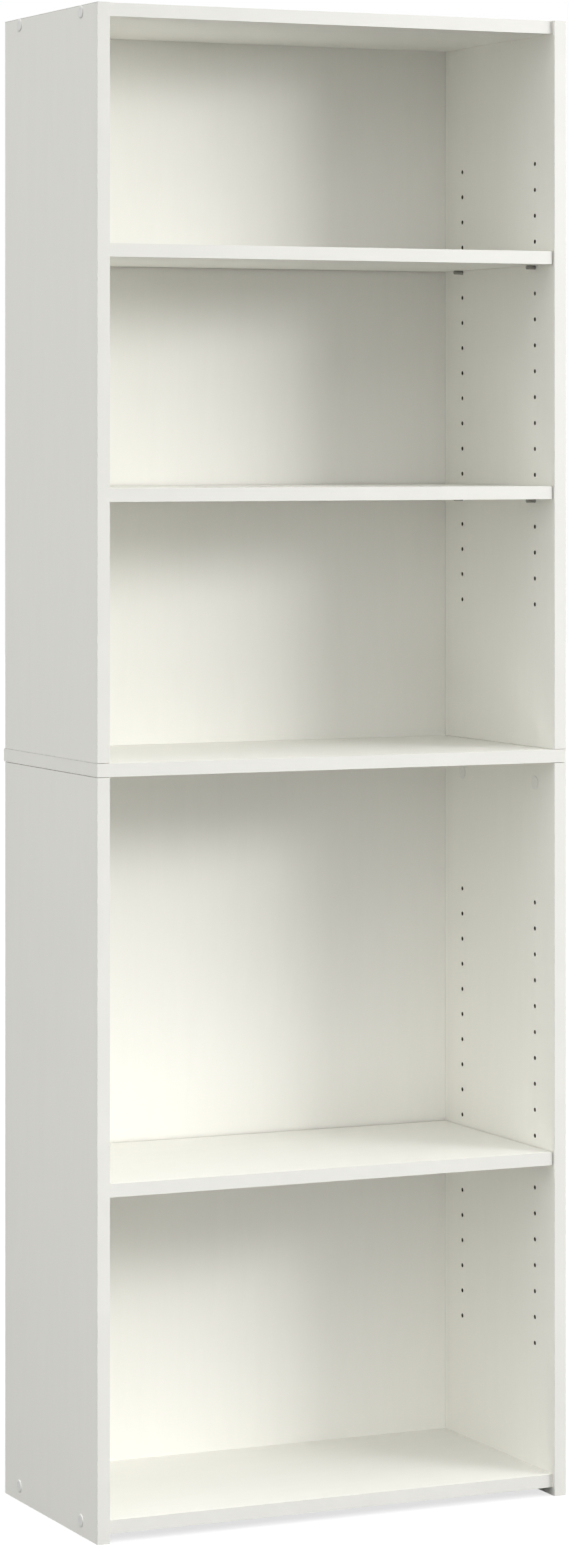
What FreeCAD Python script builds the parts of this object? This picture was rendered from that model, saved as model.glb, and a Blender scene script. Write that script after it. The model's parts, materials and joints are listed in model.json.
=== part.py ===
"""Tall bookcase with adjustable shelves, in faced board.

Two pairs of uprights stand one on the other with a fixed middle shelf between them.
A top panel and a bottom shelf are screwed between the uprights, thin back sheets are
nailed behind, and three loose shelves lie on straight metal pins. Every upright has a
front and a rear line of pin holes. All sizes are in millimetres.

Frame: origin on the floor, under the middle of the overall box. +X to the right as seen
from the front, +Y towards the back, +Z up.
"""
import FreeCAD, Part
import math
import os

# ---------------------------------------------------------------- driving sizes
OVERALL_WIDTH = 625.0
OVERALL_DEPTH = 293.0             # front edge to rear edge of the middle shelf
LOWER_UPRIGHT_HEIGHT = 899.0
UPPER_UPRIGHT_HEIGHT = 893.1
PANEL_THICK = 15.9
BACK_THICK = 3.2
MIDDLE_OVERHANG = 1.3             # middle shelf stands this far behind the back sheets
BOTTOM_SHELF_RAISE = 10.2         # floor to the underside of the bottom shelf
FIXED_SETBACK = 5.0               # top panel and bottom shelf, behind the uprights' front edge
BACK_SIDE_INSET = 3.0             # back sheet's edge, in from the uprights' outer face
BACK_END_INSET = 2.0              # back sheet's edge, in from the top end

# adjustable shelves
SHELF_SETBACK = 3.0
SHELF_END_CLEARANCE = 1.0         # each end to the upright
SHELF_REAR_CLEARANCE = 2.5        # rear edge to the back sheet
SHELF_PIN_CLEARANCE = 0.05        # underside to the top of the pins
UPPER_SHELF_SHARES = (0.765, 0.235)   # share of the upper hole run, up from the middle shelf
LOWER_SHELF_SHARES = (0.588,)         # share of the lower hole run, down from the middle shelf

# edge strips
STRIP_THICK = 0.6

# pin holes and pins
HOLE_DIAMETER = 5.0
HOLE_DEPTH = 12.0
HOLE_PITCH = 32.0
HOLE_RUN_START = 176.2            # middle shelf face to the first hole
HOLE_RUN_END_MARGIN = 150.0       # least distance from the last hole to the end panel
FRONT_LINE_INSET = 50.0           # front hole line, behind the uprights' front edge
REAR_LINE_INSET = 46.5            # rear hole line, before the uprights' rear edge
PIN_FIT_CLEARANCE = 0.05          # radial
PIN_BOTTOM_CLEARANCE = 0.5        # inner end of the pin to the bottom of its hole
PIN_PROJECTION = 12.0
PIN_END_ROUND = 0.9
PIN_END_CHAMFER = 0.4

# panel screws and their covers
SCREW_HEAD_DIAMETER = 9.6
SCREW_HEAD_HEIGHT = 2.0
SCREW_CONE_HEIGHT = 1.4
SCREW_SHANK_DIAMETER = 6.8
SCREW_CORE_DIAMETER = 4.8
SCREW_LENGTH = 50.0
SCREW_THREAD_PITCH = 3.0
SCREW_POINT_LENGTH = 3.0
SCREW_SOCKET_ACROSS_FLATS = 4.0
SCREW_SOCKET_DEPTH = 2.6
SCREW_HEAD_SINK = 0.2             # head face below the upright's outer face
SCREW_HOLE_CLEARANCE = 0.1        # radial
SCREW_COVER_DIAMETER = 15.0
SCREW_COVER_RIM = 0.6
SCREW_COVER_HEIGHT = 1.2
SCREW_COVER_PEG_DIAMETER = 3.6
SCREW_COVER_PEG_LENGTH = 2.0

COVER_BEVEL = 1.6                 # width of the bevel round every cover

# cam locks, their dowels and their covers
CAM_EDGE_DISTANCE = 28.0          # cam centre below the end of the lower upright
CAM_BORE_DIAMETER = 15.0
CAM_BORE_DEPTH = 12.4
CAM_CLEARANCE = 0.1
CAM_SLOT_WIDTH = 7.4
CAM_CROSS_LENGTH = 8.0
CAM_CROSS_WIDTH = 1.8
CAM_CROSS_DEPTH = 1.6
CAM_COVER_DIAMETER = 17.0
CAM_COVER_RIM = 0.7
CAM_COVER_HEIGHT = 1.2
CAM_COVER_PEG_CLEARANCE = 0.15
CAM_DOWEL_SHANK_DIAMETER = 6.4
CAM_DOWEL_NECK_DIAMETER = 3.6
CAM_DOWEL_NECK_LENGTH = 4.4
CAM_DOWEL_HEAD_DIAMETER = 6.4
CAM_DOWEL_HEAD_LENGTH = 3.0
CAM_DOWEL_THREAD_LENGTH = 10.5
CAM_DOWEL_THREAD_DIAMETER = 6.8
CAM_DOWEL_THREAD_CORE = 4.8
CAM_DOWEL_THREAD_PITCH = 2.1
CAM_DOWEL_HOLE_CLEARANCE = 0.3    # radial, in the upright
CAM_DOWEL_THREAD_RELIEF = 0.4     # hole in the middle shelf, beyond the thread's end
CAM_DOWEL_COLLAR = 0.5             # shank starts this far below the joint
CAM_DOWEL_TAPER = 1.0              # shank down to neck
CAM_DOWEL_HEAD_CHAMFER = 0.6

# wooden dowels
DOWEL_DIAMETER = 8.0
DOWEL_IN_UPRIGHT = 20.0
DOWEL_IN_SHELF = 9.0
DOWEL_CHAMFER = 0.8
DOWEL_END_CLEARANCE = 0.6
DOWEL_FIT_CLEARANCE = 0.05        # radial
DOWEL_SHIFT = 32.0                # upper dowels, in from each hole line

# back nails
NAIL_DIAMETER = 1.6
NAIL_LENGTH = 20.0
NAIL_HEAD_DIAMETER = 4.4
NAIL_HEAD_HEIGHT = 0.8
NAIL_POINT_LENGTH = 2.0
NAIL_HOLE_CLEARANCE = 0.02        # radial
NAIL_SPACING = 150.0              # largest distance between two nails
NAIL_END_DISTANCE = 40.0
NAIL_HEAD_BEVEL = (0.3, 0.4)      # along and across the head's outer edge

# how the solids are drawn
OVERSHOOT = 1.0                   # tools run past a face by this much
THREAD_FLANKS = (0.35, 0.55)      # shares of a thread's pitch where its crest starts and ends
EDGE_TOLERANCE = 0.01             # an edge this near a plane lies in it

# ---------------------------------------------------------------- worked-out places
HALF_WIDTH = OVERALL_WIDTH / 2
FRONT = -OVERALL_DEPTH / 2
MIDDLE_REAR = OVERALL_DEPTH / 2
BACK_REAR = MIDDLE_REAR - MIDDLE_OVERHANG
BACK_FRONT = BACK_REAR - BACK_THICK          # also the uprights' rear edge
INNER_FACE = HALF_WIDTH - PANEL_THICK
PANEL_CENTRE_X = HALF_WIDTH - PANEL_THICK / 2

MIDDLE_BOTTOM = LOWER_UPRIGHT_HEIGHT
MIDDLE_TOP = MIDDLE_BOTTOM + PANEL_THICK
OVERALL_HEIGHT = MIDDLE_TOP + UPPER_UPRIGHT_HEIGHT
TOP_PANEL_BOTTOM = OVERALL_HEIGHT - PANEL_THICK
BOTTOM_SHELF_TOP = BOTTOM_SHELF_RAISE + PANEL_THICK
TOP_SCREW_Z = OVERALL_HEIGHT - PANEL_THICK / 2
BOTTOM_SCREW_Z = BOTTOM_SHELF_RAISE + PANEL_THICK / 2

FRONT_LINE = FRONT + FRONT_LINE_INSET
REAR_LINE = BACK_FRONT - REAR_LINE_INSET
HOLE_LINES = {"front": FRONT_LINE, "rear": REAR_LINE}
MIDDLE_LINE = (FRONT_LINE + REAR_LINE) / 2
UPPER_DOWEL_LINES = (FRONT_LINE + DOWEL_SHIFT, REAR_LINE - DOWEL_SHIFT)

HOLE_RADIUS = HOLE_DIAMETER / 2
PIN_RADIUS = HOLE_RADIUS - PIN_FIT_CLEARANCE
PIN_INSERTION = HOLE_DEPTH - PIN_BOTTOM_CLEARANCE
CAM_Z = LOWER_UPRIGHT_HEIGHT - CAM_EDGE_DISTANCE
SIDES = {"left": -1, "right": 1}


def hole_count(run):
    """Number of pin holes that fit in a compartment of this height."""
    return int((run - HOLE_RUN_START - HOLE_RUN_END_MARGIN) // HOLE_PITCH) + 1


UPPER_HOLES = [MIDDLE_TOP + HOLE_RUN_START + HOLE_PITCH * row
               for row in range(hole_count(TOP_PANEL_BOTTOM - MIDDLE_TOP))]
LOWER_HOLES = [MIDDLE_BOTTOM - HOLE_RUN_START - HOLE_PITCH * row
               for row in range(hole_count(MIDDLE_BOTTOM - BOTTOM_SHELF_TOP))]


def chosen_row(holes, share):
    """Height of the hole row nearest to a share of the hole run."""
    return holes[round(share * (len(holes) - 1))]


# pin heights of the loose shelves, counted from the top of the bookcase down
SHELF_PIN_HEIGHTS = ([chosen_row(UPPER_HOLES, share) for share in UPPER_SHELF_SHARES]
                     + [chosen_row(LOWER_HOLES, share) for share in LOWER_SHELF_SHARES])


# ---------------------------------------------------------------- shape helpers
def vec(x, y, z):
    """Short form of a FreeCAD vector."""
    return FreeCAD.Vector(x, y, z)


def block(x0, x1, y0, y1, z0, z1):
    """Box between two corners."""
    return Part.makeBox(x1 - x0, y1 - y0, z1 - z0, vec(x0, y0, z0))


def rod(radius, length, start, direction):
    """Cylinder from a start point along a direction."""
    return Part.makeCylinder(radius, length, start, direction)


def turned(profile, start, direction):
    """Solid of revolution: profile is (distance along the axis, radius) pairs, axis ends included."""
    points = [vec(radius, 0, along) for along, radius in profile]
    face = Part.Face(Part.makePolygon(points + [points[0]]))
    solid = face.revolve(vec(0, 0, 0), vec(0, 0, 1), 360)
    if solid.Volume < 0:
        solid.reverse()
    turn = FreeCAD.Rotation(vec(0, 0, 1), direction)
    return Part.Solid(solid.Shells[0]).transformed(FreeCAD.Placement(start, turn).toMatrix())


def ridges(start, length, pitch, core, crest):
    """Saw-tooth rings of a wood-screw thread, as profile points along an axis."""
    count = int(length // pitch)
    step = length / count
    points = []
    for ring in range(count):
        along = start + ring * step
        points.append((along, core))
        points += [(along + step * flank, crest) for flank in THREAD_FLANKS]
    points.append((start + length, core))
    return points


def cut_all(solid, tools):
    """Solid with every tool cut out of it."""
    return solid.cut(Part.makeCompound(tools)) if tools else solid


def keep(node, shape):
    """Write one node's STEP file, after a look at its solids."""
    for solid in shape.Solids:
        if not solid.isValid() or solid.Volume <= 0:
            raise ValueError(f"{node} has a faulty solid")
    shape.exportStep(f"parts/{node}.step")
    print(f"{node:34s} solids {len(shape.Solids):3d}  volume {shape.Volume / 1000:9.2f} cm3")


def keep_group(node, solids):
    """Write one node that holds several equal pieces."""
    keep(node, Part.makeCompound(solids))


# ---------------------------------------------------------------- fasteners
def screw_profile():
    """Outline of a panel screw, head face at 0, point at SCREW_LENGTH."""
    head = SCREW_HEAD_DIAMETER / 2
    shank = SCREW_SHANK_DIAMETER / 2
    core = SCREW_CORE_DIAMETER / 2
    cone_end = SCREW_HEAD_HEIGHT + SCREW_CONE_HEIGHT
    thread_start = PANEL_THICK
    thread_end = SCREW_LENGTH - SCREW_POINT_LENGTH
    thread = ridges(thread_start, thread_end - thread_start, SCREW_THREAD_PITCH, core, shank)
    return ([(0, 0), (0, head), (SCREW_HEAD_HEIGHT, head), (cone_end, shank),
             (thread_start - OVERSHOOT, shank)]
            + thread + [(SCREW_LENGTH, 0)])


def panel_screw(start, inward):
    """Panel screw with a hexagon socket in its head."""
    screw = turned(screw_profile(), start, inward)
    reach = SCREW_SOCKET_ACROSS_FLATS / math.sqrt(3)
    corners = [vec(reach * math.cos(math.radians(a)), reach * math.sin(math.radians(a)), 0)
               for a in range(0, 361, 60)]
    socket = Part.Face(Part.makePolygon(corners)).extrude(vec(0, 0, SCREW_SOCKET_DEPTH))
    turn = FreeCAD.Rotation(vec(0, 0, 1), inward)
    socket = socket.transformed(FreeCAD.Placement(start, turn).toMatrix())
    return screw.cut(socket)


def screw_places():
    """(side, line, height) of each panel screw."""
    return [(side, line, height)
            for side in SIDES.values()
            for line in HOLE_LINES.values()
            for height in (BOTTOM_SCREW_Z, TOP_SCREW_Z)]


def screw_start(side, line, height):
    """Centre of a panel screw's head face."""
    return vec(side * (HALF_WIDTH - SCREW_HEAD_SINK), line, height)


def screw_tools(side, height):
    """Holes that an upright needs for its panel screws at one height."""
    clearance = SCREW_HOLE_CLEARANCE
    shank = SCREW_SHANK_DIAMETER / 2 + clearance
    head = SCREW_HEAD_DIAMETER / 2 + clearance
    seat = SCREW_HEAD_SINK + SCREW_HEAD_HEIGHT
    profile = [(-OVERSHOOT, 0), (-OVERSHOOT, head), (seat, head), (seat + SCREW_CONE_HEIGHT, shank),
               (PANEL_THICK + OVERSHOOT, shank), (PANEL_THICK + OVERSHOOT, 0)]
    return [turned(profile, vec(side * HALF_WIDTH, line, height), vec(-side, 0, 0))
            for line in HOLE_LINES.values()]


def screw_pilot_tools(height):
    """Holes in the ends of a panel for the threads of its screws."""
    radius = SCREW_SHANK_DIAMETER / 2 + SCREW_HOLE_CLEARANCE
    depth = SCREW_LENGTH + SCREW_HEAD_SINK - PANEL_THICK + OVERSHOOT
    tools = []
    for side in SIDES.values():
        for line in HOLE_LINES.values():
            tools.append(rod(radius, depth, vec(side * INNER_FACE, line, height), vec(-side, 0, 0)))
    return tools


def cover_disc(diameter, rim, height, start, outward):
    """Round cover with a low rim, a bevel and a flat top, standing on its flat side."""
    radius = diameter / 2
    profile = [(0, 0), (0, radius), (rim, radius), (height, radius - COVER_BEVEL), (height, 0)]
    return turned(profile, start, outward)


def screw_cover(side, line, height):
    """Round cover whose peg sits in the socket of the screw."""
    face = vec(side * HALF_WIDTH, line, height)
    disc = cover_disc(SCREW_COVER_DIAMETER, SCREW_COVER_RIM, SCREW_COVER_HEIGHT, face, vec(side, 0, 0))
    reach = SCREW_HEAD_SINK + SCREW_COVER_PEG_LENGTH
    peg_start = face + vec(side * SCREW_COVER_RIM / 2, 0, 0)
    peg = rod(SCREW_COVER_PEG_DIAMETER / 2, reach + SCREW_COVER_RIM / 2, peg_start, vec(-side, 0, 0))
    return disc.fuse(peg).removeSplitter()


def cam_places():
    """(side, line) of each cam lock."""
    return [(side, line) for side in SIDES.values() for line in HOLE_LINES.values()]


def cam_cross(side, line, shrink, depth, start_x):
    """Cross-shaped block in the face of a cam."""
    length = CAM_CROSS_LENGTH / 2 - shrink
    width = CAM_CROSS_WIDTH / 2 - shrink
    x_ends = sorted((start_x, start_x + side * depth))
    upright_bar = block(*x_ends, line - width, line + width, CAM_Z - length, CAM_Z + length)
    level_bar = block(*x_ends, line - length, line + length, CAM_Z - width, CAM_Z + width)
    return upright_bar.fuse(level_bar).removeSplitter()


def cam_lock(side, line):
    """Cam with a drive cross in its face and a channel for the dowel's head."""
    radius = CAM_BORE_DIAMETER / 2 - CAM_CLEARANCE
    face = vec(side * INNER_FACE, line, CAM_Z)
    body = rod(radius, CAM_BORE_DEPTH - CAM_CLEARANCE, face, vec(side, 0, 0))
    half = CAM_SLOT_WIDTH / 2
    centre_x = side * PANEL_CENTRE_X
    channel = block(centre_x - half, centre_x + half, line - half, line + half,
                    CAM_Z - half, CAM_Z + CAM_BORE_DIAMETER)
    cross = cam_cross(side, line, 0, CAM_CROSS_DEPTH, side * INNER_FACE)
    return body.cut(channel).cut(cross)


def cam_cover(side, line):
    """Round cover over a cam, pegged into the cam's cross."""
    face = vec(side * INNER_FACE, line, CAM_Z)
    disc = cover_disc(CAM_COVER_DIAMETER, CAM_COVER_RIM, CAM_COVER_HEIGHT, face, vec(-side, 0, 0))
    overlap = CAM_COVER_RIM / 2
    peg_depth = CAM_CROSS_DEPTH - CAM_COVER_PEG_CLEARANCE + overlap
    peg = cam_cross(side, line, CAM_COVER_PEG_CLEARANCE, peg_depth, side * (INNER_FACE - overlap))
    return disc.fuse(peg).removeSplitter()


def cam_dowel(side, line):
    """Dowel screwed up into the middle shelf, its head held in the cam below."""
    head_end = CAM_EDGE_DISTANCE + CAM_DOWEL_HEAD_LENGTH / 2
    neck_end = head_end - CAM_DOWEL_HEAD_LENGTH
    shank_end = neck_end - CAM_DOWEL_NECK_LENGTH
    shank = CAM_DOWEL_SHANK_DIAMETER / 2
    neck = CAM_DOWEL_NECK_DIAMETER / 2
    head = CAM_DOWEL_HEAD_DIAMETER / 2
    core = CAM_DOWEL_THREAD_CORE / 2
    crest = CAM_DOWEL_THREAD_DIAMETER / 2
    thread = ridges(-CAM_DOWEL_THREAD_LENGTH, CAM_DOWEL_THREAD_LENGTH, CAM_DOWEL_THREAD_PITCH, core, crest)
    profile = ([(-CAM_DOWEL_THREAD_LENGTH, 0)] + thread
               + [(CAM_DOWEL_COLLAR, shank), (shank_end - CAM_DOWEL_TAPER, shank), (shank_end, neck),
                  (neck_end, neck), (neck_end, head), (head_end - CAM_DOWEL_HEAD_CHAMFER, head),
                  (head_end, head - CAM_DOWEL_HEAD_CHAMFER), (head_end, 0)])
    return turned(profile, vec(side * PANEL_CENTRE_X, line, MIDDLE_BOTTOM), vec(0, 0, -1))


def wood_dowel(side, line, joint_z, into_upright):
    """Chamfered wooden dowel across a joint; into_upright is +1 up or -1 down."""
    low = -DOWEL_IN_SHELF + DOWEL_END_CLEARANCE
    high = DOWEL_IN_UPRIGHT - DOWEL_END_CLEARANCE
    radius = DOWEL_DIAMETER / 2
    small = radius - DOWEL_CHAMFER
    profile = [(low, 0), (low, small), (low + DOWEL_CHAMFER, radius),
               (high - DOWEL_CHAMFER, radius), (high, small), (high, 0)]
    return turned(profile, vec(side * PANEL_CENTRE_X, line, joint_z), vec(0, 0, into_upright))


def dowel_tools(side, line, joint_z, into_upright):
    """Holes for one wooden dowel, through both sides of its joint."""
    radius = DOWEL_DIAMETER / 2 + DOWEL_FIT_CLEARANCE
    start = vec(side * PANEL_CENTRE_X, line, joint_z - into_upright * DOWEL_IN_SHELF)
    return [rod(radius, DOWEL_IN_SHELF + DOWEL_IN_UPRIGHT, start, vec(0, 0, into_upright))]


def nail(x, z):
    """Back nail, its head lying on the rear face of the back sheet."""
    shaft = NAIL_DIAMETER / 2
    head = NAIL_HEAD_DIAMETER / 2
    neck = NAIL_HEAD_HEIGHT
    along, across = NAIL_HEAD_BEVEL
    profile = [(0, 0), (0, head - across), (along, head), (neck, head), (neck, shaft),
               (neck + NAIL_LENGTH - NAIL_POINT_LENGTH, shaft), (neck + NAIL_LENGTH, 0)]
    return turned(profile, vec(x, BACK_REAR + NAIL_HEAD_HEIGHT, z), vec(0, -1, 0))


def spread(low, high):
    """Evenly spaced places from low to high, no further apart than NAIL_SPACING."""
    gaps = max(1, math.ceil((high - low) / NAIL_SPACING))
    return [low + (high - low) * index / gaps for index in range(gaps + 1)]


def nail_places(sheet_low, sheet_high, rail_z):
    """(x, z) of the nails of one back sheet: down both uprights and along one panel."""
    down = spread(sheet_low + NAIL_END_DISTANCE, sheet_high - NAIL_END_DISTANCE)
    sides = [(side * PANEL_CENTRE_X, z) for side in SIDES.values() for z in down]
    reach = INNER_FACE - NAIL_END_DISTANCE
    return sides + [(x, rail_z) for x in spread(-reach, reach)]


def nail_tools(places):
    """Holes for the shafts of these nails."""
    radius = NAIL_DIAMETER / 2 + NAIL_HOLE_CLEARANCE
    depth = NAIL_LENGTH + OVERSHOOT
    return [rod(radius, depth, vec(x, BACK_REAR + OVERSHOOT, z), vec(0, -1, 0)) for x, z in places]


LOWER_SHEET = (BOTTOM_SHELF_RAISE, MIDDLE_BOTTOM)
UPPER_SHEET = (MIDDLE_TOP, OVERALL_HEIGHT - BACK_END_INSET)
LOWER_NAILS = nail_places(*LOWER_SHEET, BOTTOM_SCREW_Z)
UPPER_NAILS = nail_places(*UPPER_SHEET, TOP_SCREW_Z)


def near_nails(places, box_test):
    """The nails whose place passes a test."""
    return [place for place in places if box_test(*place)]


# ---------------------------------------------------------------- boards
def upright(side, low, high, holes):
    """Core of one upright with its pin holes; the front edge is left bare for its strip."""
    outer = side * HALF_WIDTH
    inner = side * INNER_FACE
    board = block(min(outer, inner), max(outer, inner), FRONT + STRIP_THICK, BACK_FRONT, low, high)
    tools = [rod(HOLE_RADIUS, HOLE_DEPTH, vec(inner, line, z), vec(side, 0, 0))
             for line in HOLE_LINES.values() for z in holes]
    return board, tools


def lower_upright(side):
    """Lower upright: bored for the bottom shelf's screws, cams, cam dowels, a dowel and nails."""
    board, tools = upright(side, 0, MIDDLE_BOTTOM, LOWER_HOLES)
    tools += screw_tools(side, BOTTOM_SCREW_Z)
    for line in HOLE_LINES.values():
        tools.append(rod(CAM_BORE_DIAMETER / 2, CAM_BORE_DEPTH,
                         vec(side * INNER_FACE, line, CAM_Z), vec(side, 0, 0)))
        tools.append(rod(CAM_DOWEL_SHANK_DIAMETER / 2 + CAM_DOWEL_HOLE_CLEARANCE, CAM_EDGE_DISTANCE,
                         vec(side * PANEL_CENTRE_X, line, CAM_Z), vec(0, 0, 1)))
    tools += dowel_tools(side, MIDDLE_LINE, MIDDLE_BOTTOM, -1)
    tools += nail_tools(near_nails(LOWER_NAILS, lambda x, z: x * side > INNER_FACE))
    return cut_all(board, tools)


def upper_upright(side):
    """Upper upright: bored for the top panel's screws, two dowels and nails."""
    board, tools = upright(side, MIDDLE_TOP, OVERALL_HEIGHT - STRIP_THICK, UPPER_HOLES)
    tools += screw_tools(side, TOP_SCREW_Z)
    for line in UPPER_DOWEL_LINES:
        tools += dowel_tools(side, line, MIDDLE_TOP, 1)
    tools += nail_tools(near_nails(UPPER_NAILS, lambda x, z: x * side > INNER_FACE))
    return cut_all(board, tools)


def upright_strips(side, low, high, top_strip):
    """Edge strips of an upright: its front edge, and its top end where that shows."""
    ends = sorted((side * HALF_WIDTH, side * INNER_FACE))
    strips = [block(*ends, FRONT, FRONT + STRIP_THICK, low, high)]
    if top_strip:
        strips.append(block(*ends, FRONT + STRIP_THICK, BACK_FRONT, high - STRIP_THICK, high))
    return strips


def end_panel(bottom, screw_z, nails):
    """Top panel or bottom shelf: screwed between the uprights, nailed along its rear edge."""
    board = block(-INNER_FACE, INNER_FACE, FRONT + FIXED_SETBACK + STRIP_THICK, BACK_FRONT,
                  bottom, bottom + PANEL_THICK)
    tools = screw_pilot_tools(screw_z) + nail_tools(near_nails(nails, lambda x, z: abs(x) < INNER_FACE))
    return cut_all(board, tools)


def end_panel_strip(bottom):
    """Front edge strip of the top panel or the bottom shelf."""
    front = FRONT + FIXED_SETBACK
    return [block(-INNER_FACE, INNER_FACE, front, front + STRIP_THICK, bottom, bottom + PANEL_THICK)]


def middle_shelf():
    """Fixed shelf between the upper and the lower uprights, as wide as the bookcase."""
    board = block(-HALF_WIDTH + STRIP_THICK, HALF_WIDTH - STRIP_THICK, FRONT + STRIP_THICK, MIDDLE_REAR,
                  MIDDLE_BOTTOM, MIDDLE_TOP)
    radius = CAM_DOWEL_THREAD_DIAMETER / 2 + SCREW_HOLE_CLEARANCE
    tools = []
    for side, line in cam_places():
        start = vec(side * PANEL_CENTRE_X, line, MIDDLE_BOTTOM - OVERSHOOT)
        depth = OVERSHOOT + CAM_DOWEL_THREAD_LENGTH + CAM_DOWEL_THREAD_RELIEF
        tools.append(rod(radius, depth, start, vec(0, 0, 1)))
    for side in SIDES.values():
        tools += dowel_tools(side, MIDDLE_LINE, MIDDLE_BOTTOM, -1)
        for line in UPPER_DOWEL_LINES:
            tools += dowel_tools(side, line, MIDDLE_TOP, 1)
    return cut_all(board, tools)


def middle_shelf_strips():
    """Edge strips of the middle shelf: the front and both ends, which all show."""
    strips = [block(-HALF_WIDTH, HALF_WIDTH, FRONT, FRONT + STRIP_THICK, MIDDLE_BOTTOM, MIDDLE_TOP)]
    for side in SIDES.values():
        ends = sorted((side * HALF_WIDTH, side * (HALF_WIDTH - STRIP_THICK)))
        strips.append(block(*ends, FRONT + STRIP_THICK, MIDDLE_REAR, MIDDLE_BOTTOM, MIDDLE_TOP))
    return strips


def loose_shelf_box(pin_z, front, rear):
    """Slice of a loose shelf between two depths, lying on pins at this height."""
    end = INNER_FACE - SHELF_END_CLEARANCE
    underside = pin_z + PIN_RADIUS + SHELF_PIN_CLEARANCE
    return block(-end, end, front, rear, underside, underside + PANEL_THICK)


def loose_shelf(pin_z):
    """Core of one adjustable shelf."""
    return loose_shelf_box(pin_z, FRONT + SHELF_SETBACK + STRIP_THICK, BACK_FRONT - SHELF_REAR_CLEARANCE)


def loose_shelf_strip(pin_z):
    """Front edge strip of one adjustable shelf."""
    front = FRONT + SHELF_SETBACK
    return [loose_shelf_box(pin_z, front, front + STRIP_THICK)]


def shelf_pin(side, line, pin_z):
    """Straight metal pin: rounded free end, chamfered inner end."""
    start = vec(side * (INNER_FACE + PIN_INSERTION), line, pin_z)
    length = PIN_INSERTION + PIN_PROJECTION
    body = rod(PIN_RADIUS, length, start, vec(-side, 0, 0))
    free_x = side * (INNER_FACE - PIN_PROJECTION)

    def rim(x):
        """The edges that lie in the plane at x."""
        return [edge for edge in body.Edges
                if abs(edge.BoundBox.XMin - x) < EDGE_TOLERANCE
                and abs(edge.BoundBox.XMax - x) < EDGE_TOLERANCE]

    body = body.makeFillet(PIN_END_ROUND, rim(free_x))
    return body.makeChamfer(PIN_END_CHAMFER, rim(start.x))


def back_sheet(low, high, nails):
    """Thin sheet on the rear edges of the uprights."""
    reach = HALF_WIDTH - BACK_SIDE_INSET
    sheet = block(-reach, reach, BACK_FRONT, BACK_REAR, low, high)
    return cut_all(sheet, nail_tools(nails))


# ---------------------------------------------------------------- the whole bookcase
def build_carcass():
    """Uprights, fixed panels and back sheets, each with its edge strips."""
    for name, side in SIDES.items():
        keep(f"lower_{name}_upright", lower_upright(side))
        keep_group(f"lower_{name}_upright_edge_strip", upright_strips(side, 0, MIDDLE_BOTTOM, False))
        keep(f"upper_{name}_upright", upper_upright(side))
        keep_group(f"upper_{name}_upright_edge_strips",
                   upright_strips(side, MIDDLE_TOP, OVERALL_HEIGHT, True))
    keep("bottom_shelf", end_panel(BOTTOM_SHELF_RAISE, BOTTOM_SCREW_Z, LOWER_NAILS))
    keep_group("bottom_shelf_edge_strip", end_panel_strip(BOTTOM_SHELF_RAISE))
    keep("top_panel", end_panel(TOP_PANEL_BOTTOM, TOP_SCREW_Z, UPPER_NAILS))
    keep_group("top_panel_edge_strip", end_panel_strip(TOP_PANEL_BOTTOM))
    keep("middle_shelf", middle_shelf())
    keep_group("middle_shelf_edge_strips", middle_shelf_strips())
    keep("lower_back_panel", back_sheet(*LOWER_SHEET, LOWER_NAILS))
    keep("upper_back_panel", back_sheet(*UPPER_SHEET, UPPER_NAILS))


def build_fasteners():
    """Screws, covers, cams, dowels and nails, each kind in one node."""
    keep_group("panel_screws", [panel_screw(screw_start(*place), vec(-place[0], 0, 0))
                                for place in screw_places()])
    keep_group("screw_covers", [screw_cover(*place) for place in screw_places()])
    keep_group("cam_locks", [cam_lock(*place) for place in cam_places()])
    keep_group("cam_lock_covers", [cam_cover(*place) for place in cam_places()])
    keep_group("cam_dowels", [cam_dowel(*place) for place in cam_places()])
    keep_group("lower_wood_dowels", [wood_dowel(side, MIDDLE_LINE, MIDDLE_BOTTOM, -1)
                                     for side in SIDES.values()])
    keep_group("upper_wood_dowels", [wood_dowel(side, line, MIDDLE_TOP, 1)
                                     for side in SIDES.values() for line in UPPER_DOWEL_LINES])
    keep_group("lower_back_nails", [nail(*place) for place in LOWER_NAILS])
    keep_group("upper_back_nails", [nail(*place) for place in UPPER_NAILS])


def build_loose_shelves():
    """Adjustable shelves from the top down, each with its strip and its four pins."""
    for number, pin_z in enumerate(SHELF_PIN_HEIGHTS, start=1):
        keep(f"adjustable_shelf_{number}", loose_shelf(pin_z))
        keep_group(f"adjustable_shelf_{number}_edge_strip", loose_shelf_strip(pin_z))
        for side_name, side in SIDES.items():
            for line_name, line in HOLE_LINES.items():
                keep(f"shelf_{number}_pin_{line_name}_{side_name}", shelf_pin(side, line, pin_z))


def report_places():
    """Print the places that a maker would check."""
    print(f"overall {OVERALL_WIDTH} x {OVERALL_DEPTH} x {OVERALL_HEIGHT}")
    print(f"hole lines {FRONT_LINE:.2f} {REAR_LINE:.2f}, inner face {INNER_FACE:.2f}")
    print(f"upper rows {len(UPPER_HOLES)} {UPPER_HOLES[0]:.2f}..{UPPER_HOLES[-1]:.2f}")
    print(f"lower rows {len(LOWER_HOLES)} {LOWER_HOLES[-1]:.2f}..{LOWER_HOLES[0]:.2f}")
    print("pin heights", [round(z, 2) for z in SHELF_PIN_HEIGHTS])


os.makedirs("parts", exist_ok=True)
build_carcass()
build_fasteners()
build_loose_shelves()
report_places()
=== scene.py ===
"""A tall white bookcase: two tiers of fixed boards with three adjustable shelves on steel pins.

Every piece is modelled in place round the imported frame, in metres, and rides on its own body.
"""

import json
import logging
import math
from contextlib import contextmanager
from dataclasses import dataclass
from enum import Enum
from typing import Callable, Iterator, Sequence

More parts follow.
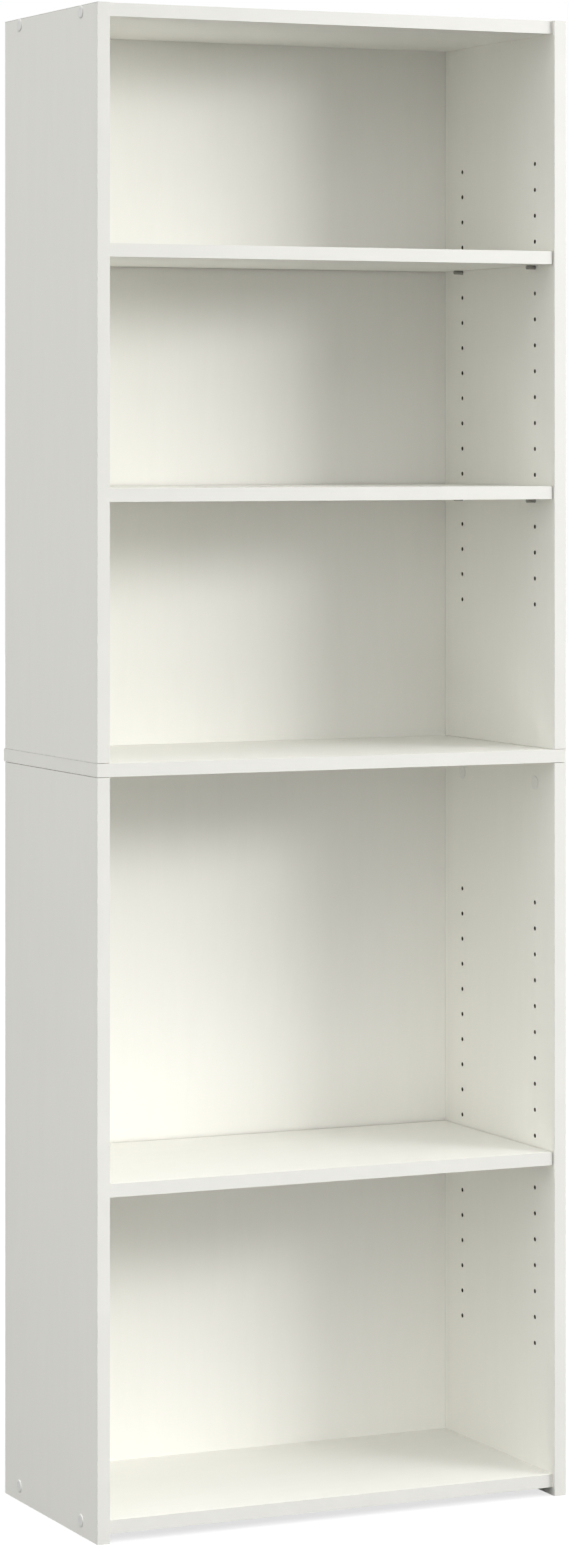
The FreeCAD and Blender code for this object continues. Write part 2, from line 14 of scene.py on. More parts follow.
import bmesh
import bpy
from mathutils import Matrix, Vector


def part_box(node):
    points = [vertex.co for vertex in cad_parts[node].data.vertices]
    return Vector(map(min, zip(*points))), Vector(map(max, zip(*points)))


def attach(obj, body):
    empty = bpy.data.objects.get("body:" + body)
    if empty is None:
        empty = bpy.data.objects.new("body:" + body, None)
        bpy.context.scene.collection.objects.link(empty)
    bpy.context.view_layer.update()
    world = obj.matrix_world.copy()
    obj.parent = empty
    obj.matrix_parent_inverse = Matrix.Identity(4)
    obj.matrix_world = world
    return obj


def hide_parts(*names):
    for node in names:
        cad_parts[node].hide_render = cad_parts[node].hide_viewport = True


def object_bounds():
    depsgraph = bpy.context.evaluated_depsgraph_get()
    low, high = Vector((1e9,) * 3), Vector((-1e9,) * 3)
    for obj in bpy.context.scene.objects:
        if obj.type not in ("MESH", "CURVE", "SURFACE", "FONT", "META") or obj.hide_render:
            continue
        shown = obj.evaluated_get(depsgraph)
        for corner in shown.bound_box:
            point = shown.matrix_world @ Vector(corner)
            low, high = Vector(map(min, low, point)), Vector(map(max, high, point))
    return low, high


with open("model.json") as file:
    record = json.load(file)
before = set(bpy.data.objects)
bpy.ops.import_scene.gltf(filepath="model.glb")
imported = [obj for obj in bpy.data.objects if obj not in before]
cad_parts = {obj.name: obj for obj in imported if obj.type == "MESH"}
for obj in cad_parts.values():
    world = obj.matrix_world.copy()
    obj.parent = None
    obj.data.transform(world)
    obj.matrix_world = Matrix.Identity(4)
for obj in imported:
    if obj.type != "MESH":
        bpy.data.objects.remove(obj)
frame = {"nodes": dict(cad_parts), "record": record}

CAD_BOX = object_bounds()
LOG = logging.getLogger("bookcase")
MM = 0.001
X_AXIS = Vector((1.0, 0.0, 0.0))
Y_AXIS = Vector((0.0, 1.0, 0.0))
Z_AXIS = Vector((0.0, 0.0, 1.0))
NOWHERE = Vector((0.0, 0.0, 0.0))
SMALL = 1e-6
SQUARE = 1 - SMALL
FACING = 0.5
WHITE = (1.0, 1.0, 1.0, 1.0)
WHOLE = (0.0, 1.0)
ARRIS = "arris"
Range = tuple[float, float]
Rings = Sequence[tuple[float, float]]
Colour = tuple[float, float, float, float]
EdgeTest = Callable[[Vector, Vector], bool]


class Side(Enum):
    """Which upright, by the sign of its place across the bookcase."""

    LEFT = -1
    RIGHT = 1


class Tier(Enum):
    """Which half of the bookcase, above or below the middle shelf."""

    LOWER = "lower"
    UPPER = "upper"


class Line(Enum):
    """Which vertical line of pin holes, by the sign of its place from front to rear."""

    FRONT = -1
    REAR = 1


class Run(Enum):
    """Direction that the printed grain runs in, as the shares of a pattern kept along X, Y and Z."""

    UPRIGHT = (1.0, 1.0, 0.12)
    LEVEL = (0.12, 1.0, 1.0)


# ---------------------------------------------------------------- bench work
def deselect() -> None:
    """Leaves nothing selected and nothing active."""
    bpy.ops.object.select_all(action="DESELECT")
    bpy.context.view_layer.objects.active = None


def hold(obj: bpy.types.Object) -> None:
    """Selects one object alone and makes it active.

    Args:
        obj: the object.
    """
    deselect()
    obj.select_set(True)
    bpy.context.view_layer.objects.active = obj


@contextmanager
def editing(obj: bpy.types.Object, pick: str = "FACE") -> Iterator[None]:
    """Edit mode on one object, with nothing of it selected to begin with.

    Args:
        obj: the object to edit.
        pick: VERT, EDGE or FACE, what a selection is made of.
    """
    hold(obj)
    bpy.ops.object.mode_set(mode="EDIT")
    bpy.ops.mesh.select_mode(type=pick)
    bpy.ops.mesh.select_all(action="DESELECT")
    yield
    bpy.ops.object.mode_set(mode="OBJECT")


def pick_edges(obj: bpy.types.Object, test: EdgeTest) -> None:
    """Selects the edges whose two ends pass a test, in edit mode.

    Args:
        obj: the object being edited.
        test: True for the places of the two ends of an edge to select.
    """
    mesh = bmesh.from_edit_mesh(obj.data)
    for edge in mesh.edges:
        edge.select_set(test(edge.verts[0].co, edge.verts[1].co))
    bmesh.update_edit_mesh(obj.data)


def block(name: str, low: Vector, high: Vector) -> bpy.types.Object:
    """Solid block between two corners.

    Args:
        name: name of the new object.
        low: its lowest corner.
        high: its highest corner.

    Returns:
        The object, at the origin, with its place in its mesh.
    """
    deselect()
    bpy.ops.mesh.primitive_cube_add(size=1.0, location=(low + high) / 2, scale=high - low)
    obj = bpy.context.object
    obj.name = name
    bpy.ops.object.transform_apply(location=True, rotation=True, scale=True)
    return obj


def turned(name: str, rings: Rings, start: Vector, axis: Vector, sides: int = 32) -> bpy.types.Object:
    """Round solid drawn out of one disc, ring after ring.

    Args:
        name: name of the new object.
        rings: (distance along the axis, radius) of each ring, from one closed end to the other.
        start: the point that distances are measured from.
        axis: unit direction of the axis.
        sides: how many sides the round has.

    Returns:
        The object, at the origin, with its place in its mesh.
    """
    deselect()
    along, radius = rings[0]
    bpy.ops.mesh.primitive_circle_add(vertices=sides, radius=radius, fill_type="NGON",
                                      location=start + axis * along,
                                      rotation=axis.to_track_quat("Z", "Y").to_euler())
    obj = bpy.context.object
    obj.name = name
    bpy.ops.object.transform_apply(location=True, rotation=True, scale=True)
    with editing(obj):
        bpy.ops.mesh.select_all(action="SELECT")
        for next_along, next_radius in rings[1:]:
            step = axis * (next_along - along)
            bpy.ops.mesh.extrude_region_move(TRANSFORM_OT_translate={"value": step})
            share = next_radius / radius
            bpy.ops.transform.resize(value=(share, share, share),
                                     center_override=start + axis * next_along)
            along, radius = next_along, next_radius
        bpy.ops.mesh.select_all(action="SELECT")
        bpy.ops.mesh.normals_make_consistent(inside=False)
    return obj


def rounded_end(centre: Range, radius: float, steps: int) -> Rings:
    """Rings of the rounded end that closes a piece, as a quarter circle.

    Args:
        centre: (distance, radius) of the round's own centre.
        radius: how large the round is.
        steps: how many rings it has after the first.

    Returns:
        (distance along the axis, radius) pairs in the order of travel.
    """
    angles = [math.radians(90 * step / steps) for step in range(steps + 1)]
    return [(centre[0] + radius * math.sin(a), centre[1] + radius * math.cos(a)) for a in angles]


def apply(obj: bpy.types.Object, kind: str, **settings: object) -> None:
    """Adds one modifier to an object, sets its options and applies it.

    Args:
        obj: the object.
        kind: type of the modifier.
        settings: its options.
    """
    hold(obj)
    bpy.ops.object.modifier_add(type=kind)
    modifier = obj.modifiers[-1]
    for option, value in settings.items():
        setattr(modifier, option, value)
    bpy.ops.object.modifier_apply(modifier=modifier.name)


def repeat(obj: bpy.types.Object, count: int, step: Vector) -> None:
    """Repeats a mesh along a row, the first one where it is."""
    apply(obj, "ARRAY", count=count, use_relative_offset=False, use_constant_offset=True,
          constant_offset_displace=step)


def cut(obj: bpy.types.Object, tool: bpy.types.Object) -> None:
    """Cuts a tool out of an object and takes the tool away."""
    apply(obj, "BOOLEAN", operation="DIFFERENCE", solver="EXACT", object=tool)
    bpy.data.objects.remove(tool)


def joined(name: str, parts: Sequence[bpy.types.Object]) -> bpy.types.Object:
    """Several objects as one.

    Args:
        name: name of the whole.
        parts: the objects, of which the first takes in the others.

    Returns:
        The whole.
    """
    hold(parts[0])
    for part in parts[1:]:
        part.select_set(True)
    if len(parts) > 1:
        bpy.ops.object.join()
    parts[0].name = name
    return parts[0]


def copied(obj: bpy.types.Object, name: str, shift: Vector) -> bpy.types.Object:
    """Copy of an object with its own mesh.

    Args:
        obj: the object.
        name: name of the copy.
        shift: how far the copy is moved, which its mesh takes up.

    Returns:
        The copy.
    """
    hold(obj)
    bpy.ops.object.duplicate(linked=False)
    copy = bpy.context.object
    bpy.ops.transform.translate(value=shift)
    bpy.ops.object.transform_apply(location=True, rotation=True, scale=True)
    copy.name = name
    return copy


def round_edges(obj: bpy.types.Object, radius: float, segments: int,
                test: EdgeTest = lambda a, b: True) -> None:
    """Rounds the edges whose two ends pass a test.

    Args:
        obj: the object.
        radius: how far the round reaches from the edge.
        segments: how many faces it has.
        test: True for the places of the two ends of an edge to round.
    """
    with editing(obj, "EDGE"):
        pick_edges(obj, test)
        bpy.ops.mesh.bevel(offset=radius, segments=segments, affect="EDGES", clamp_overlap=True)


def polish(obj: bpy.types.Object, angle: float = 50.0, weight: int = 50) -> None:
    """Closes seams, turns faces outward and shades soft edges smoothly, flat faces staying flat.

    Args:
        obj: the object.
        angle: degrees between two faces up to which the edge between them is soft.
        weight: how much more the large faces count, 50 for evenly.
    """
    with editing(obj, "VERT"):
        bpy.ops.mesh.select_all(action="SELECT")
        bpy.ops.mesh.remove_doubles(threshold=SMALL)
        bpy.ops.mesh.normals_make_consistent(inside=False)
    hold(obj)
    bpy.ops.object.shade_smooth_by_angle(angle=math.radians(angle))
    apply(obj, "WEIGHTED_NORMAL", keep_sharp=True, weight=weight)


def mark_arrises(obj: bpy.types.Object) -> None:
    """Notes on each face whether it belongs to a rounded edge, for the rubbing and the painted shade of the
    finish.

    Args:
        obj: the object.
    """
    layer = obj.data.attributes.new(ARRIS, "FLOAT", "FACE")
    for face in obj.data.polygons:
        straight = max(abs(part) for part in face.normal)
        layer.data[face.index].value = 0.0 if straight > SQUARE else 1.0


def hand_over(obj: bpy.types.Object, body: str, slot: str, *nodes: str) -> None:
    """Makes a finished piece ride on its body and stand for its nodes, and reports it.

    Args:
        obj: the piece.
        body: the body that it rides on.
        slot: not used.
        nodes: the nodes that it stands for.
    """
    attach(obj, body)
    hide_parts(*nodes)
    LOG.info("%-36s %6d faces, rides on %s", obj.name, len(obj.data.polygons), body)


# ---------------------------------------------------------------- shader wiring
class Graph:
    """Short forms for wiring one node tree."""

    def __init__(self, tree: bpy.types.NodeTree) -> None:
        """Keeps the tree that nodes are added to."""
        self.tree = tree

    def add(self, kind: str, options: dict | None = None, sockets: dict | None = None) -> bpy.types.Node:
        """Adds one node.

        Args:
            kind: its type, without the leading ShaderNode.
            options: settings of the node itself.
            sockets: inputs by name or number, each a value or an output socket to take it from.

        Returns:
            The node.
        """
        node = self.tree.nodes.new(kind if kind.startswith("NodeGroup") else "ShaderNode" + kind)
        for option, value in (options or {}).items():
            setattr(node, option, value)
        for socket, value in (sockets or {}).items():
            if isinstance(value, bpy.types.NodeSocket):
                self.tree.links.new(value, node.inputs[socket])
            else:
                node.inputs[socket].default_value = value
        return node

    def maths(self, operation: str, first: object, second: object) -> bpy.types.NodeSocket:
        """Sum, product or another operation on two numbers, as an output socket."""
        return self.add("Math", {"operation": operation}, {0: first, 1: second}).outputs[0]

    def level(self, value: bpy.types.NodeSocket, start: Range, end: Range) -> bpy.types.NodeSocket:
        """A number moved from one range to another and kept inside it.

        Args:
            value: the number.
            start: the range that it comes from.
            end: the range that it is moved to.

        Returns:
            The moved number.
        """
        ranges = {"From Min": start[0], "From Max": start[1], "To Min": end[0], "To Max": end[1]}
        return self.add("MapRange", {"clamp": True}, {"Value": value, **ranges}).outputs[0]

    def blend(self, share: object, first: object, second: object) -> bpy.types.NodeSocket:
        """Mix of two colours, as an output socket."""
        return self.add("Mix", {"data_type": "RGBA"}, {0: share, 6: first, 7: second}).outputs[2]

    def noise(self, where: bpy.types.NodeSocket, scale: bpy.types.NodeSocket, detail: float,
              roughness: float, distortion: float = 0.0) -> bpy.types.NodeSocket:
        """Soft noise.

        Args:
            where: the place that it is read at.
            scale: how fine it is.
            detail: how many finer layers lie over it.
            roughness: how much each of them counts.
            distortion: how far it wanders.

        Returns:
            The noise, around a half.
        """
        sockets = {"Vector": where, "Scale": scale, "Detail": detail, "Roughness": roughness,
                   "Distortion": distortion}
        return self.add("TexNoise", None, sockets).outputs["Fac"]

    def feed(self, node: bpy.types.Node, socket: str, source: bpy.types.NodeSocket) -> None:
        """Leads an output socket into one input of a node."""
        self.tree.links.new(source, node.inputs[socket])

    def group(self, tree: bpy.types.NodeTree, **sockets: object) -> bpy.types.Node:
        """Places a shared effect in this tree.

        Args:
            tree: the effect's node group.
            sockets: its inputs, each a value or an output socket to take it from.

        Returns:
            The effect's node.
        """
        node = self.tree.nodes.new("ShaderNodeGroup")
        node.node_tree = tree
        for socket, value in sockets.items():
            target = node.inputs[socket.replace("_", " ").title()]
            if isinstance(value, bpy.types.NodeSocket):
                self.tree.links.new(value, target)
            else:
                target.default_value = value
        return node


class Effect:
    """A shared effect: a node group built once, with named sockets."""

    name = ""
    takes: dict[str, str] = {}
    gives: dict[str, str] = {}

    @classmethod
    def tree(cls) -> bpy.types.NodeTree:
        """The effect's node group, built when it is first asked for.

        Returns:
            The node group, under the effect's name.
        """
        made = bpy.data.node_groups.get(cls.name)
        if made:
            return made
        made = bpy.data.node_groups.new(cls.name, "ShaderNodeTree")
        for socket, kind in cls.takes.items():
            made.interface.new_socket(socket, in_out="INPUT", socket_type=kind)
        for socket, kind in cls.gives.items():
            made.interface.new_socket(socket, in_out="OUTPUT", socket_type=kind)
        graph = Graph(made)
        taken = made.nodes.new("NodeGroupInput")
        given = made.nodes.new("NodeGroupOutput")
        for socket, source in cls.wire(graph, taken.outputs).items():
            made.links.new(source, given.inputs[socket])
        return made

    @classmethod
    def wire(cls, graph: Graph, taken: bpy.types.bpy_prop_collection) -> dict[str, bpy.types.NodeSocket]:
        """Wires the effect.

        Args:
            graph: the group's tree.
            taken: the group's inputs.

        Returns:
            The source of each output, by its name.
        """
        raise NotImplementedError


class PrintedGrain(Effect):
    """Long pores over a broader, wandering figure, as pressed into a decor film."""

    name = "printed_grain"
    takes = {"Vector": "NodeSocketVector", "Pores": "NodeSocketFloat", "Figure": "NodeSocketFloat"}
    gives = {"Height": "NodeSocketFloat", "Tone": "NodeSocketFloat"}
    pore_band = (0.42, 0.62)
    figure_band = (0.30, 0.70)
    pore_share = 0.45
    figure_share = 0.55

    @classmethod
    def wire(cls, graph: Graph, taken: bpy.types.bpy_prop_collection) -> dict[str, bpy.types.NodeSocket]:
        """Wires two noises into one height and one tone.

        Args:
            graph: the group's tree.
            taken: the group's inputs.

        Returns:
            The height of pores and figure together, and the tone of the figure.
        """
        pores = graph.noise(taken["Vector"], taken["Pores"], detail=4.0, roughness=0.6)
        figure = graph.noise(taken["Vector"], taken["Figure"], detail=3.0, roughness=0.55, distortion=1.1)
        fine = graph.level(pores, cls.pore_band, WHOLE)
        broad = graph.level(figure, cls.figure_band, WHOLE)
        height = graph.maths("ADD", graph.maths("MULTIPLY", fine, cls.pore_share),
                             graph.maths("MULTIPLY", broad, cls.figure_share))
        return {"Height": height, "Tone": broad}


class Speckle(Effect):
    """Fine, even mottling of a moulded, cast or plated surface."""

    name = "speckle"
    takes = {"Vector": "NodeSocketVector", "Scale": "NodeSocketFloat"}
    gives = {"Height": "NodeSocketFloat", "Mask": "NodeSocketFloat"}
    noise_share = 0.7
    cell_share = 0.3
    mask_band = (0.35, 0.65)

    @classmethod
    def wire(cls, graph: Graph, taken: bpy.types.bpy_prop_collection) -> dict[str, bpy.types.NodeSocket]:
        """Wires a noise and a cell pattern into a height and a mask.

        Args:
            graph: the group's tree.
            taken: the group's inputs.

        Returns:
            The height of both, and a mask of the noise.
        """
        noise = graph.noise(taken["Vector"], taken["Scale"], detail=3.0, roughness=0.5)
        cells = graph.add("TexVoronoi", None, {"Vector": taken["Vector"], "Scale": taken["Scale"]})
        height = graph.maths("ADD", graph.maths("MULTIPLY", noise, cls.noise_share),
                             graph.maths("MULTIPLY", cells.outputs["Distance"], cls.cell_share))
        return {"Height": height, "Mask": graph.level(noise, cls.mask_band, WHOLE)}


class Handling(Effect):
    """Broad soft patches left by wiping and handling."""

    name = "handling"
    takes = {"Vector": "NodeSocketVector", "Scale": "NodeSocketFloat"}
    gives = {"Mask": "NodeSocketFloat"}
    mask_band = (0.38, 0.66)

    @classmethod
    def wire(cls, graph: Graph, taken: bpy.types.bpy_prop_collection) -> dict[str, bpy.types.NodeSocket]:
        """Wires one slow noise into a mask.

        Args:
            graph: the group's tree.
            taken: the group's inputs.

        Returns:
            A mask with soft borders.
        """
        noise = graph.noise(taken["Vector"], taken["Scale"], detail=5.0, roughness=0.55, distortion=0.6)
        return {"Mask": graph.level(noise, cls.mask_band, WHOLE)}


class ArrisPatches(Effect):
    """Broken patches along the rounded edges of a piece, for slight rubbing and for painted shade."""

    name = "arris_wear"
    takes = {"Vector": "NodeSocketVector", "Arris": "NodeSocketFloat", "Scale": "NodeSocketFloat"}
    gives = {"Mask": "NodeSocketFloat"}
    mask_band = (0.40, 0.60)
    kept = (0.25, 1.0)

    @classmethod
    def wire(cls, graph: Graph, taken: bpy.types.bpy_prop_collection) -> dict[str, bpy.types.NodeSocket]:
        """Wires the marked edges through a noise that breaks them up.

        Args:
            graph: the group's tree.
            taken: the group's inputs.

        Returns:
            A mask of the places that take rubbing and painted shade.
        """
        noise = graph.noise(taken["Vector"], taken["Scale"], detail=2.0, roughness=0.6)
        broken = graph.level(noise, cls.mask_band, cls.kept)
        return {"Mask": graph.maths("MULTIPLY", taken["Arris"], broken)}


# ---------------------------------------------------------------- finishes
@dataclass(frozen=True)
class Finish:
    """One finish: a named material, built once, around a single principled shader.

    Tones are shares of its colour, and strength and relief say how deep its texture is.
    """

    name: str
    colour: Colour
    roughness: float
    specular: float = 0.5
    tones: Range = WHOLE
    strength: float = 1.0
    relief: float = 0.02 * MM

    def material(self) -> bpy.types.Material:
        """The finish's material, built when it is first asked for.

        Returns:
            The material, under the finish's name.
        """
        made = bpy.data.materials.get(self.name)
        if made:
            return made
        made = bpy.data.materials.new(self.name)
        made.use_nodes = True
        made.node_tree.nodes.clear()
        graph = Graph(made.node_tree)
        shader = graph.add("BsdfPrincipled", None, {"Base Color": self.colour, "Roughness": self.roughness,
                                                    "Specular IOR Level": self.specular})
        graph.add("OutputMaterial", None, {"Surface": shader.outputs[0]})
        self.wire(graph, shader)
        return made

    def wire(self, graph: Graph, shader: bpy.types.Node) -> None:
        """Feeds the shader its patterns.

        Args:
            graph: the material's tree.
            shader: its principled shader.
        """
        raise NotImplementedError

    def place(self, graph: Graph, stretch: Sequence[float] = (1.0, 1.0, 1.0)) -> bpy.types.NodeSocket:
        """Object coordinates, stretched by a share along each axis."""
        where = graph.add("TexCoord").outputs["Object"]
        return graph.add("Mapping", None, {"Vector": where, "Scale": Vector(stretch)}).outputs[0]

    def shade(self, amount: float) -> Colour:
        """The finish's colour, made lighter or darker by a share."""
        return tuple(min(1.0, part * amount) for part in self.colour[:3]) + (1.0,)

    def tint(self, graph: Graph, mask: bpy.types.NodeSocket) -> bpy.types.NodeSocket:
        """The finish's colour, led from its first tone to its second by a mask."""
        return graph.blend(mask, self.shade(self.tones[0]), self.shade(self.tones[1]))

    def satin(self, graph: Graph, mask: bpy.types.NodeSocket, change: Range) -> bpy.types.NodeSocket:
        """The finish's roughness, led from one change to another by a mask."""
        return graph.level(mask, WHOLE, (self.roughness + change[0], self.roughness + change[1]))

    def emboss(self, graph: Graph, shader: bpy.types.Node, height: bpy.types.NodeSocket,
               invert: bool = False) -> None:
        """Presses a texture into the shader's normal.

        Args:
            graph: the material's tree.
            shader: its principled shader.
            height: the texture.
            invert: True where the texture's high places are pits.
        """
        bump = graph.add("Bump", {"invert": invert}, {"Strength": self.strength, "Distance": self.relief,
                                                      "Height": height})
        graph.feed(shader, "Normal", bump.outputs[0])


@dataclass(frozen=True)
class ArrisToneFinish(Finish):
    """A finish that takes another tone along its rounded arrises: lighter for rubbing, darker for painted
    shade.
    """

    arris_tone: float = 1.0
    arris_share: float = 0.0
    breaks: float = 100.0

    def arris_mask(self, graph: Graph, plain: bpy.types.NodeSocket) -> bpy.types.NodeSocket:
        """Where the arrises take their other tone, as a mask: rubbing, and painted shade on the uprights."""
        arris = graph.add("Attribute", {"attribute_name": ARRIS}).outputs["Fac"]
        return graph.group(ArrisPatches.tree(), vector=plain, arris=arris, scale=self.breaks).outputs["Mask"]

    def worn(self, graph: Graph, mask: bpy.types.NodeSocket,
             tone: bpy.types.NodeSocket) -> bpy.types.NodeSocket:
        """A tone changed along the arrises: lighter for rubbing, darker for painted shade."""
        toned_share = graph.maths("MULTIPLY", mask, self.arris_share)
        return graph.blend(toned_share, tone, self.shade(self.arris_tone))


@dataclass(frozen=True)
class DecorFilm(ArrisToneFinish):
    """Satin white film with a faint pressed grain, on the faces of boards and of the back sheets."""

    tones: Range = (0.992, 1.006)
    relief: float = 0.014 * MM
    arris_tone: float = 1.08
    arris_share: float = 0.35
    breaks: float = 160.0
    run: Run = Run.UPRIGHT
    pores: float = 300.0
    figure: float = 60.0
    patches: float = 7.0
    sheen: float = 0.05

    def wire(self, graph: Graph, shader: bpy.types.Node) -> None:
        """Feeds the grain to colour, roughness and bump, and handling marks to roughness.

        Args:
            graph: the material's tree.
            shader: its principled shader.
        """
        plain = self.place(graph)
        along = self.place(graph, self.run.value)
        grain = graph.group(PrintedGrain.tree(), vector=along, pores=self.pores, figure=self.figure)
        marks = graph.group(Handling.tree(), vector=plain, scale=self.patches)
        tone = self.tint(graph, grain.outputs["Tone"])
        # Arrises take arris_tone: lighter for rubbing by default, darker as painted shade on the uprights'
        # film.
        graph.feed(shader, "Base Color", self.worn(graph, self.arris_mask(graph, plain), tone))
        satin = self.satin(graph, grain.outputs["Height"], (self.sheen, -self.sheen))
        polished = graph.maths("MULTIPLY", marks.outputs["Mask"], -self.sheen)
        graph.feed(shader, "Roughness", graph.maths("ADD", satin, polished))
        self.emboss(graph, shader, grain.outputs["Height"])


@dataclass(frozen=True)
class Edging(ArrisToneFinish):
    """Satin edge strip: fine orange peel, with its rounded arrises burnished by handling, and darkened on
    the uprights as painted shade.
    """

    tones: Range = (0.985, 1.01)
    strength: float = 0.6
    arris_tone: float = 1.07
    arris_share: float = 0.5
    breaks: float = 120.0
    peel: float = 900.0
    patches: float = 16.0
    sheen: Range = (-0.03, 0.04)
    burnish: float = 0.08

    def wire(self, graph: Graph, shader: bpy.types.Node) -> None:
        """Feeds peel to bump, mottling to colour, the arris tone (rubbing, and painted shade on the
        uprights) to colour, and burnish to roughness.

        Args:
            graph: the material's tree.
            shader: its principled shader.
        """
        plain = self.place(graph)
        peel = graph.group(Speckle.tree(), vector=plain, scale=self.peel)
        marks = graph.group(Handling.tree(), vector=plain, scale=self.patches)
        arris_mask = self.arris_mask(graph, plain)
        # Arrises take arris_tone: lighter for rubbing by default, darker as painted shade on the uprights'
        # strips.
        graph.feed(shader, "Base Color", self.worn(graph, arris_mask, self.tint(graph, marks.outputs["Mask"])))
        satin = self.satin(graph, peel.outputs["Mask"], self.sheen)
        burnished = graph.maths("MULTIPLY", arris_mask, self.burnish)
        graph.feed(shader, "Roughness", graph.maths("SUBTRACT", satin, burnished))
        self.emboss(graph, shader, peel.outputs["Height"])


@dataclass(frozen=True)
class Chipboard(Finish):
    """Raw core of a board: pressed chips in several tans, with pits between them."""

    strength: float = 0.9
    relief: float = 0.25 * MM
    chips: float = 430.0
    chip_shape: Sequence[float] = (1.0, 0.6, 0.6)
    chip_tones: Sequence[Range] = ((0.0, 0.45), (0.3, 0.8), (0.65, 1.1), (1.0, 1.45))
    dust: float = 1500.0
    dust_tone: float = 0.7
    dust_share: float = 0.35
    dust_height: float = 0.4
    sheen: Range = (0.0, 0.1)

    def wire(self, graph: Graph, shader: bpy.types.Node) -> None:
        """Feeds cells of chip to colour and bump, and fine dust to roughness.

        Args:
            graph: the material's tree.
            shader: its principled shader.
        """
        where = self.place(graph, self.chip_shape)
        cells = graph.add("TexVoronoi", None, {"Vector": where, "Scale": self.chips})
        pick = graph.add("SeparateColor", None, {"Color": cells.outputs["Color"]}).outputs[0]
        ramp = graph.add("ValToRGB", None, {"Fac": pick})
        stops = ramp.color_ramp.elements
        for index, (at, amount) in enumerate(self.chip_tones):
            stop = stops[index] if index < 2 else stops.new(at)
            stop.position = at
            stop.color = self.shade(amount)
        dust = graph.group(Speckle.tree(), vector=where, scale=self.dust)
        dusty = graph.maths("MULTIPLY", dust.outputs["Mask"], self.dust_share)
        graph.feed(shader, "Base Color", graph.blend(dusty, ramp.outputs[0], self.shade(self.dust_tone)))
        graph.feed(shader, "Roughness", self.satin(graph, dust.outputs["Mask"], self.sheen))
        fine = graph.maths("MULTIPLY", dust.outputs["Height"], self.dust_height)
        self.emboss(graph, shader, graph.maths("ADD", cells.outputs["Distance"], fine), invert=True)


@dataclass(frozen=True)
class Hardboard(Finish):
    """Bare brown rear of a back sheet, with the fine net of the press screen in it."""

    tones: Range = (0.72, 1.22)
    strength: float = 0.7
    relief: float = 0.06 * MM
    net: float = 640.0
    fibres: float = 700.0
    fibre_height: float = 0.8
    clouds: float = 12.0
    cloud_tone: float = 0.8
    cloud_share: float = 0.45
    sheen: Range = (0.0, 0.12)

    def wire(self, graph: Graph, shader: bpy.types.Node) -> None:
        """Feeds fibres to colour, and the net and fibres to bump.

        Args:
            graph: the material's tree.
            shader: its principled shader.
        """
        plain = self.place(graph)
        fibres = graph.group(Speckle.tree(), vector=plain, scale=self.fibres)
        clouds = graph.group(Handling.tree(), vector=plain, scale=self.clouds)
        cloudy = graph.maths("MULTIPLY", clouds.outputs["Mask"], self.cloud_share)
        tone = self.tint(graph, fibres.outputs["Mask"])
        graph.feed(shader, "Base Color", graph.blend(cloudy, tone, self.shade(self.cloud_tone)))
        graph.feed(shader, "Roughness", self.satin(graph, clouds.outputs["Mask"], self.sheen))
        waves = {"Vector": plain, "Scale": self.net / math.tau}
        across = graph.add("TexWave", {"bands_direction": "X"}, waves).outputs["Fac"]
        down = graph.add("TexWave", {"bands_direction": "Z"}, waves).outputs["Fac"]
        fuzz = graph.maths("MULTIPLY", fibres.outputs["Height"], self.fibre_height)
        self.emboss(graph, shader, graph.maths("ADD", graph.maths("MULTIPLY", across, down), fuzz))


@dataclass(frozen=True)
class Moulding(Finish):
    """Moulded plastic: nearly plain, with fine spark texture and a little flow in its tone."""

    tones: Range = (0.975, 1.01)
    strength: float = 0.5
    relief: float = 0.015 * MM
    spark: float = 2600.0
    flow: float = 90.0
    sheen: Range = (-0.04, 0.06)

    def wire(self, graph: Graph, shader: bpy.types.Node) -> None:
        """Feeds flow to colour and spark texture to roughness and bump.

        Args:
            graph: the material's tree.
            shader: its principled shader.
        """
        plain = self.place(graph)
        spark = graph.group(Speckle.tree(), vector=plain, scale=self.spark)
        flow = graph.group(Handling.tree(), vector=plain, scale=self.flow)
        graph.feed(shader, "Base Color", self.tint(graph, flow.outputs["Mask"]))
        graph.feed(shader, "Roughness", self.satin(graph, spark.outputs["Mask"], self.sheen))
        self.emboss(graph, shader, spark.outputs["Height"])


@dataclass(frozen=True)
class Metal(Finish):
    """Bare or plated metal, turned or cast, with a dull bloom in patches."""

    tones: Range = (1.08, 0.84)
    strength: float = 0.5
    relief: float = 0.012 * MM
    turning: float = 0.0
    wobble: float = 0.6
    grit: float = 1400.0
    grit_tone: float = 0.9
    grit_share: float = 0.3
    grit_height: float = 0.5
    bloom: float = 140.0
    sheen: Range = (-0.06, 0.12)

    def wire(self, graph: Graph, shader: bpy.types.Node) -> None:
        """Feeds bloom to colour and roughness, and grit and turning lines to bump.

        Args:
            graph: the material's tree.
            shader: its principled shader.
        """
        shader.inputs["Metallic"].default_value = 1.0
        plain = self.place(graph)
        grit = graph.group(Speckle.tree(), vector=plain, scale=self.grit)
        bloom = graph.group(Handling.tree(), vector=plain, scale=self.bloom)
        gritty = graph.maths("MULTIPLY", grit.outputs["Mask"], self.grit_share)
        tone = self.tint(graph, bloom.outputs["Mask"])
        graph.feed(shader, "Base Color", graph.blend(gritty, tone, self.shade(self.grit_tone)))
        graph.feed(shader, "Roughness", self.satin(graph, bloom.outputs["Mask"], self.sheen))
        height = grit.outputs["Height"]
        if self.turning:
            lines = graph.add("TexWave", {"bands_direction": "X"},
                              {"Vector": plain, "Scale": self.turning / math.tau, "Distortion": self.wobble})
            faint = graph.maths("MULTIPLY", height, self.grit_height)
            height = graph.maths("ADD", faint, lines.outputs["Fac"])
        self.emboss(graph, shader, height)


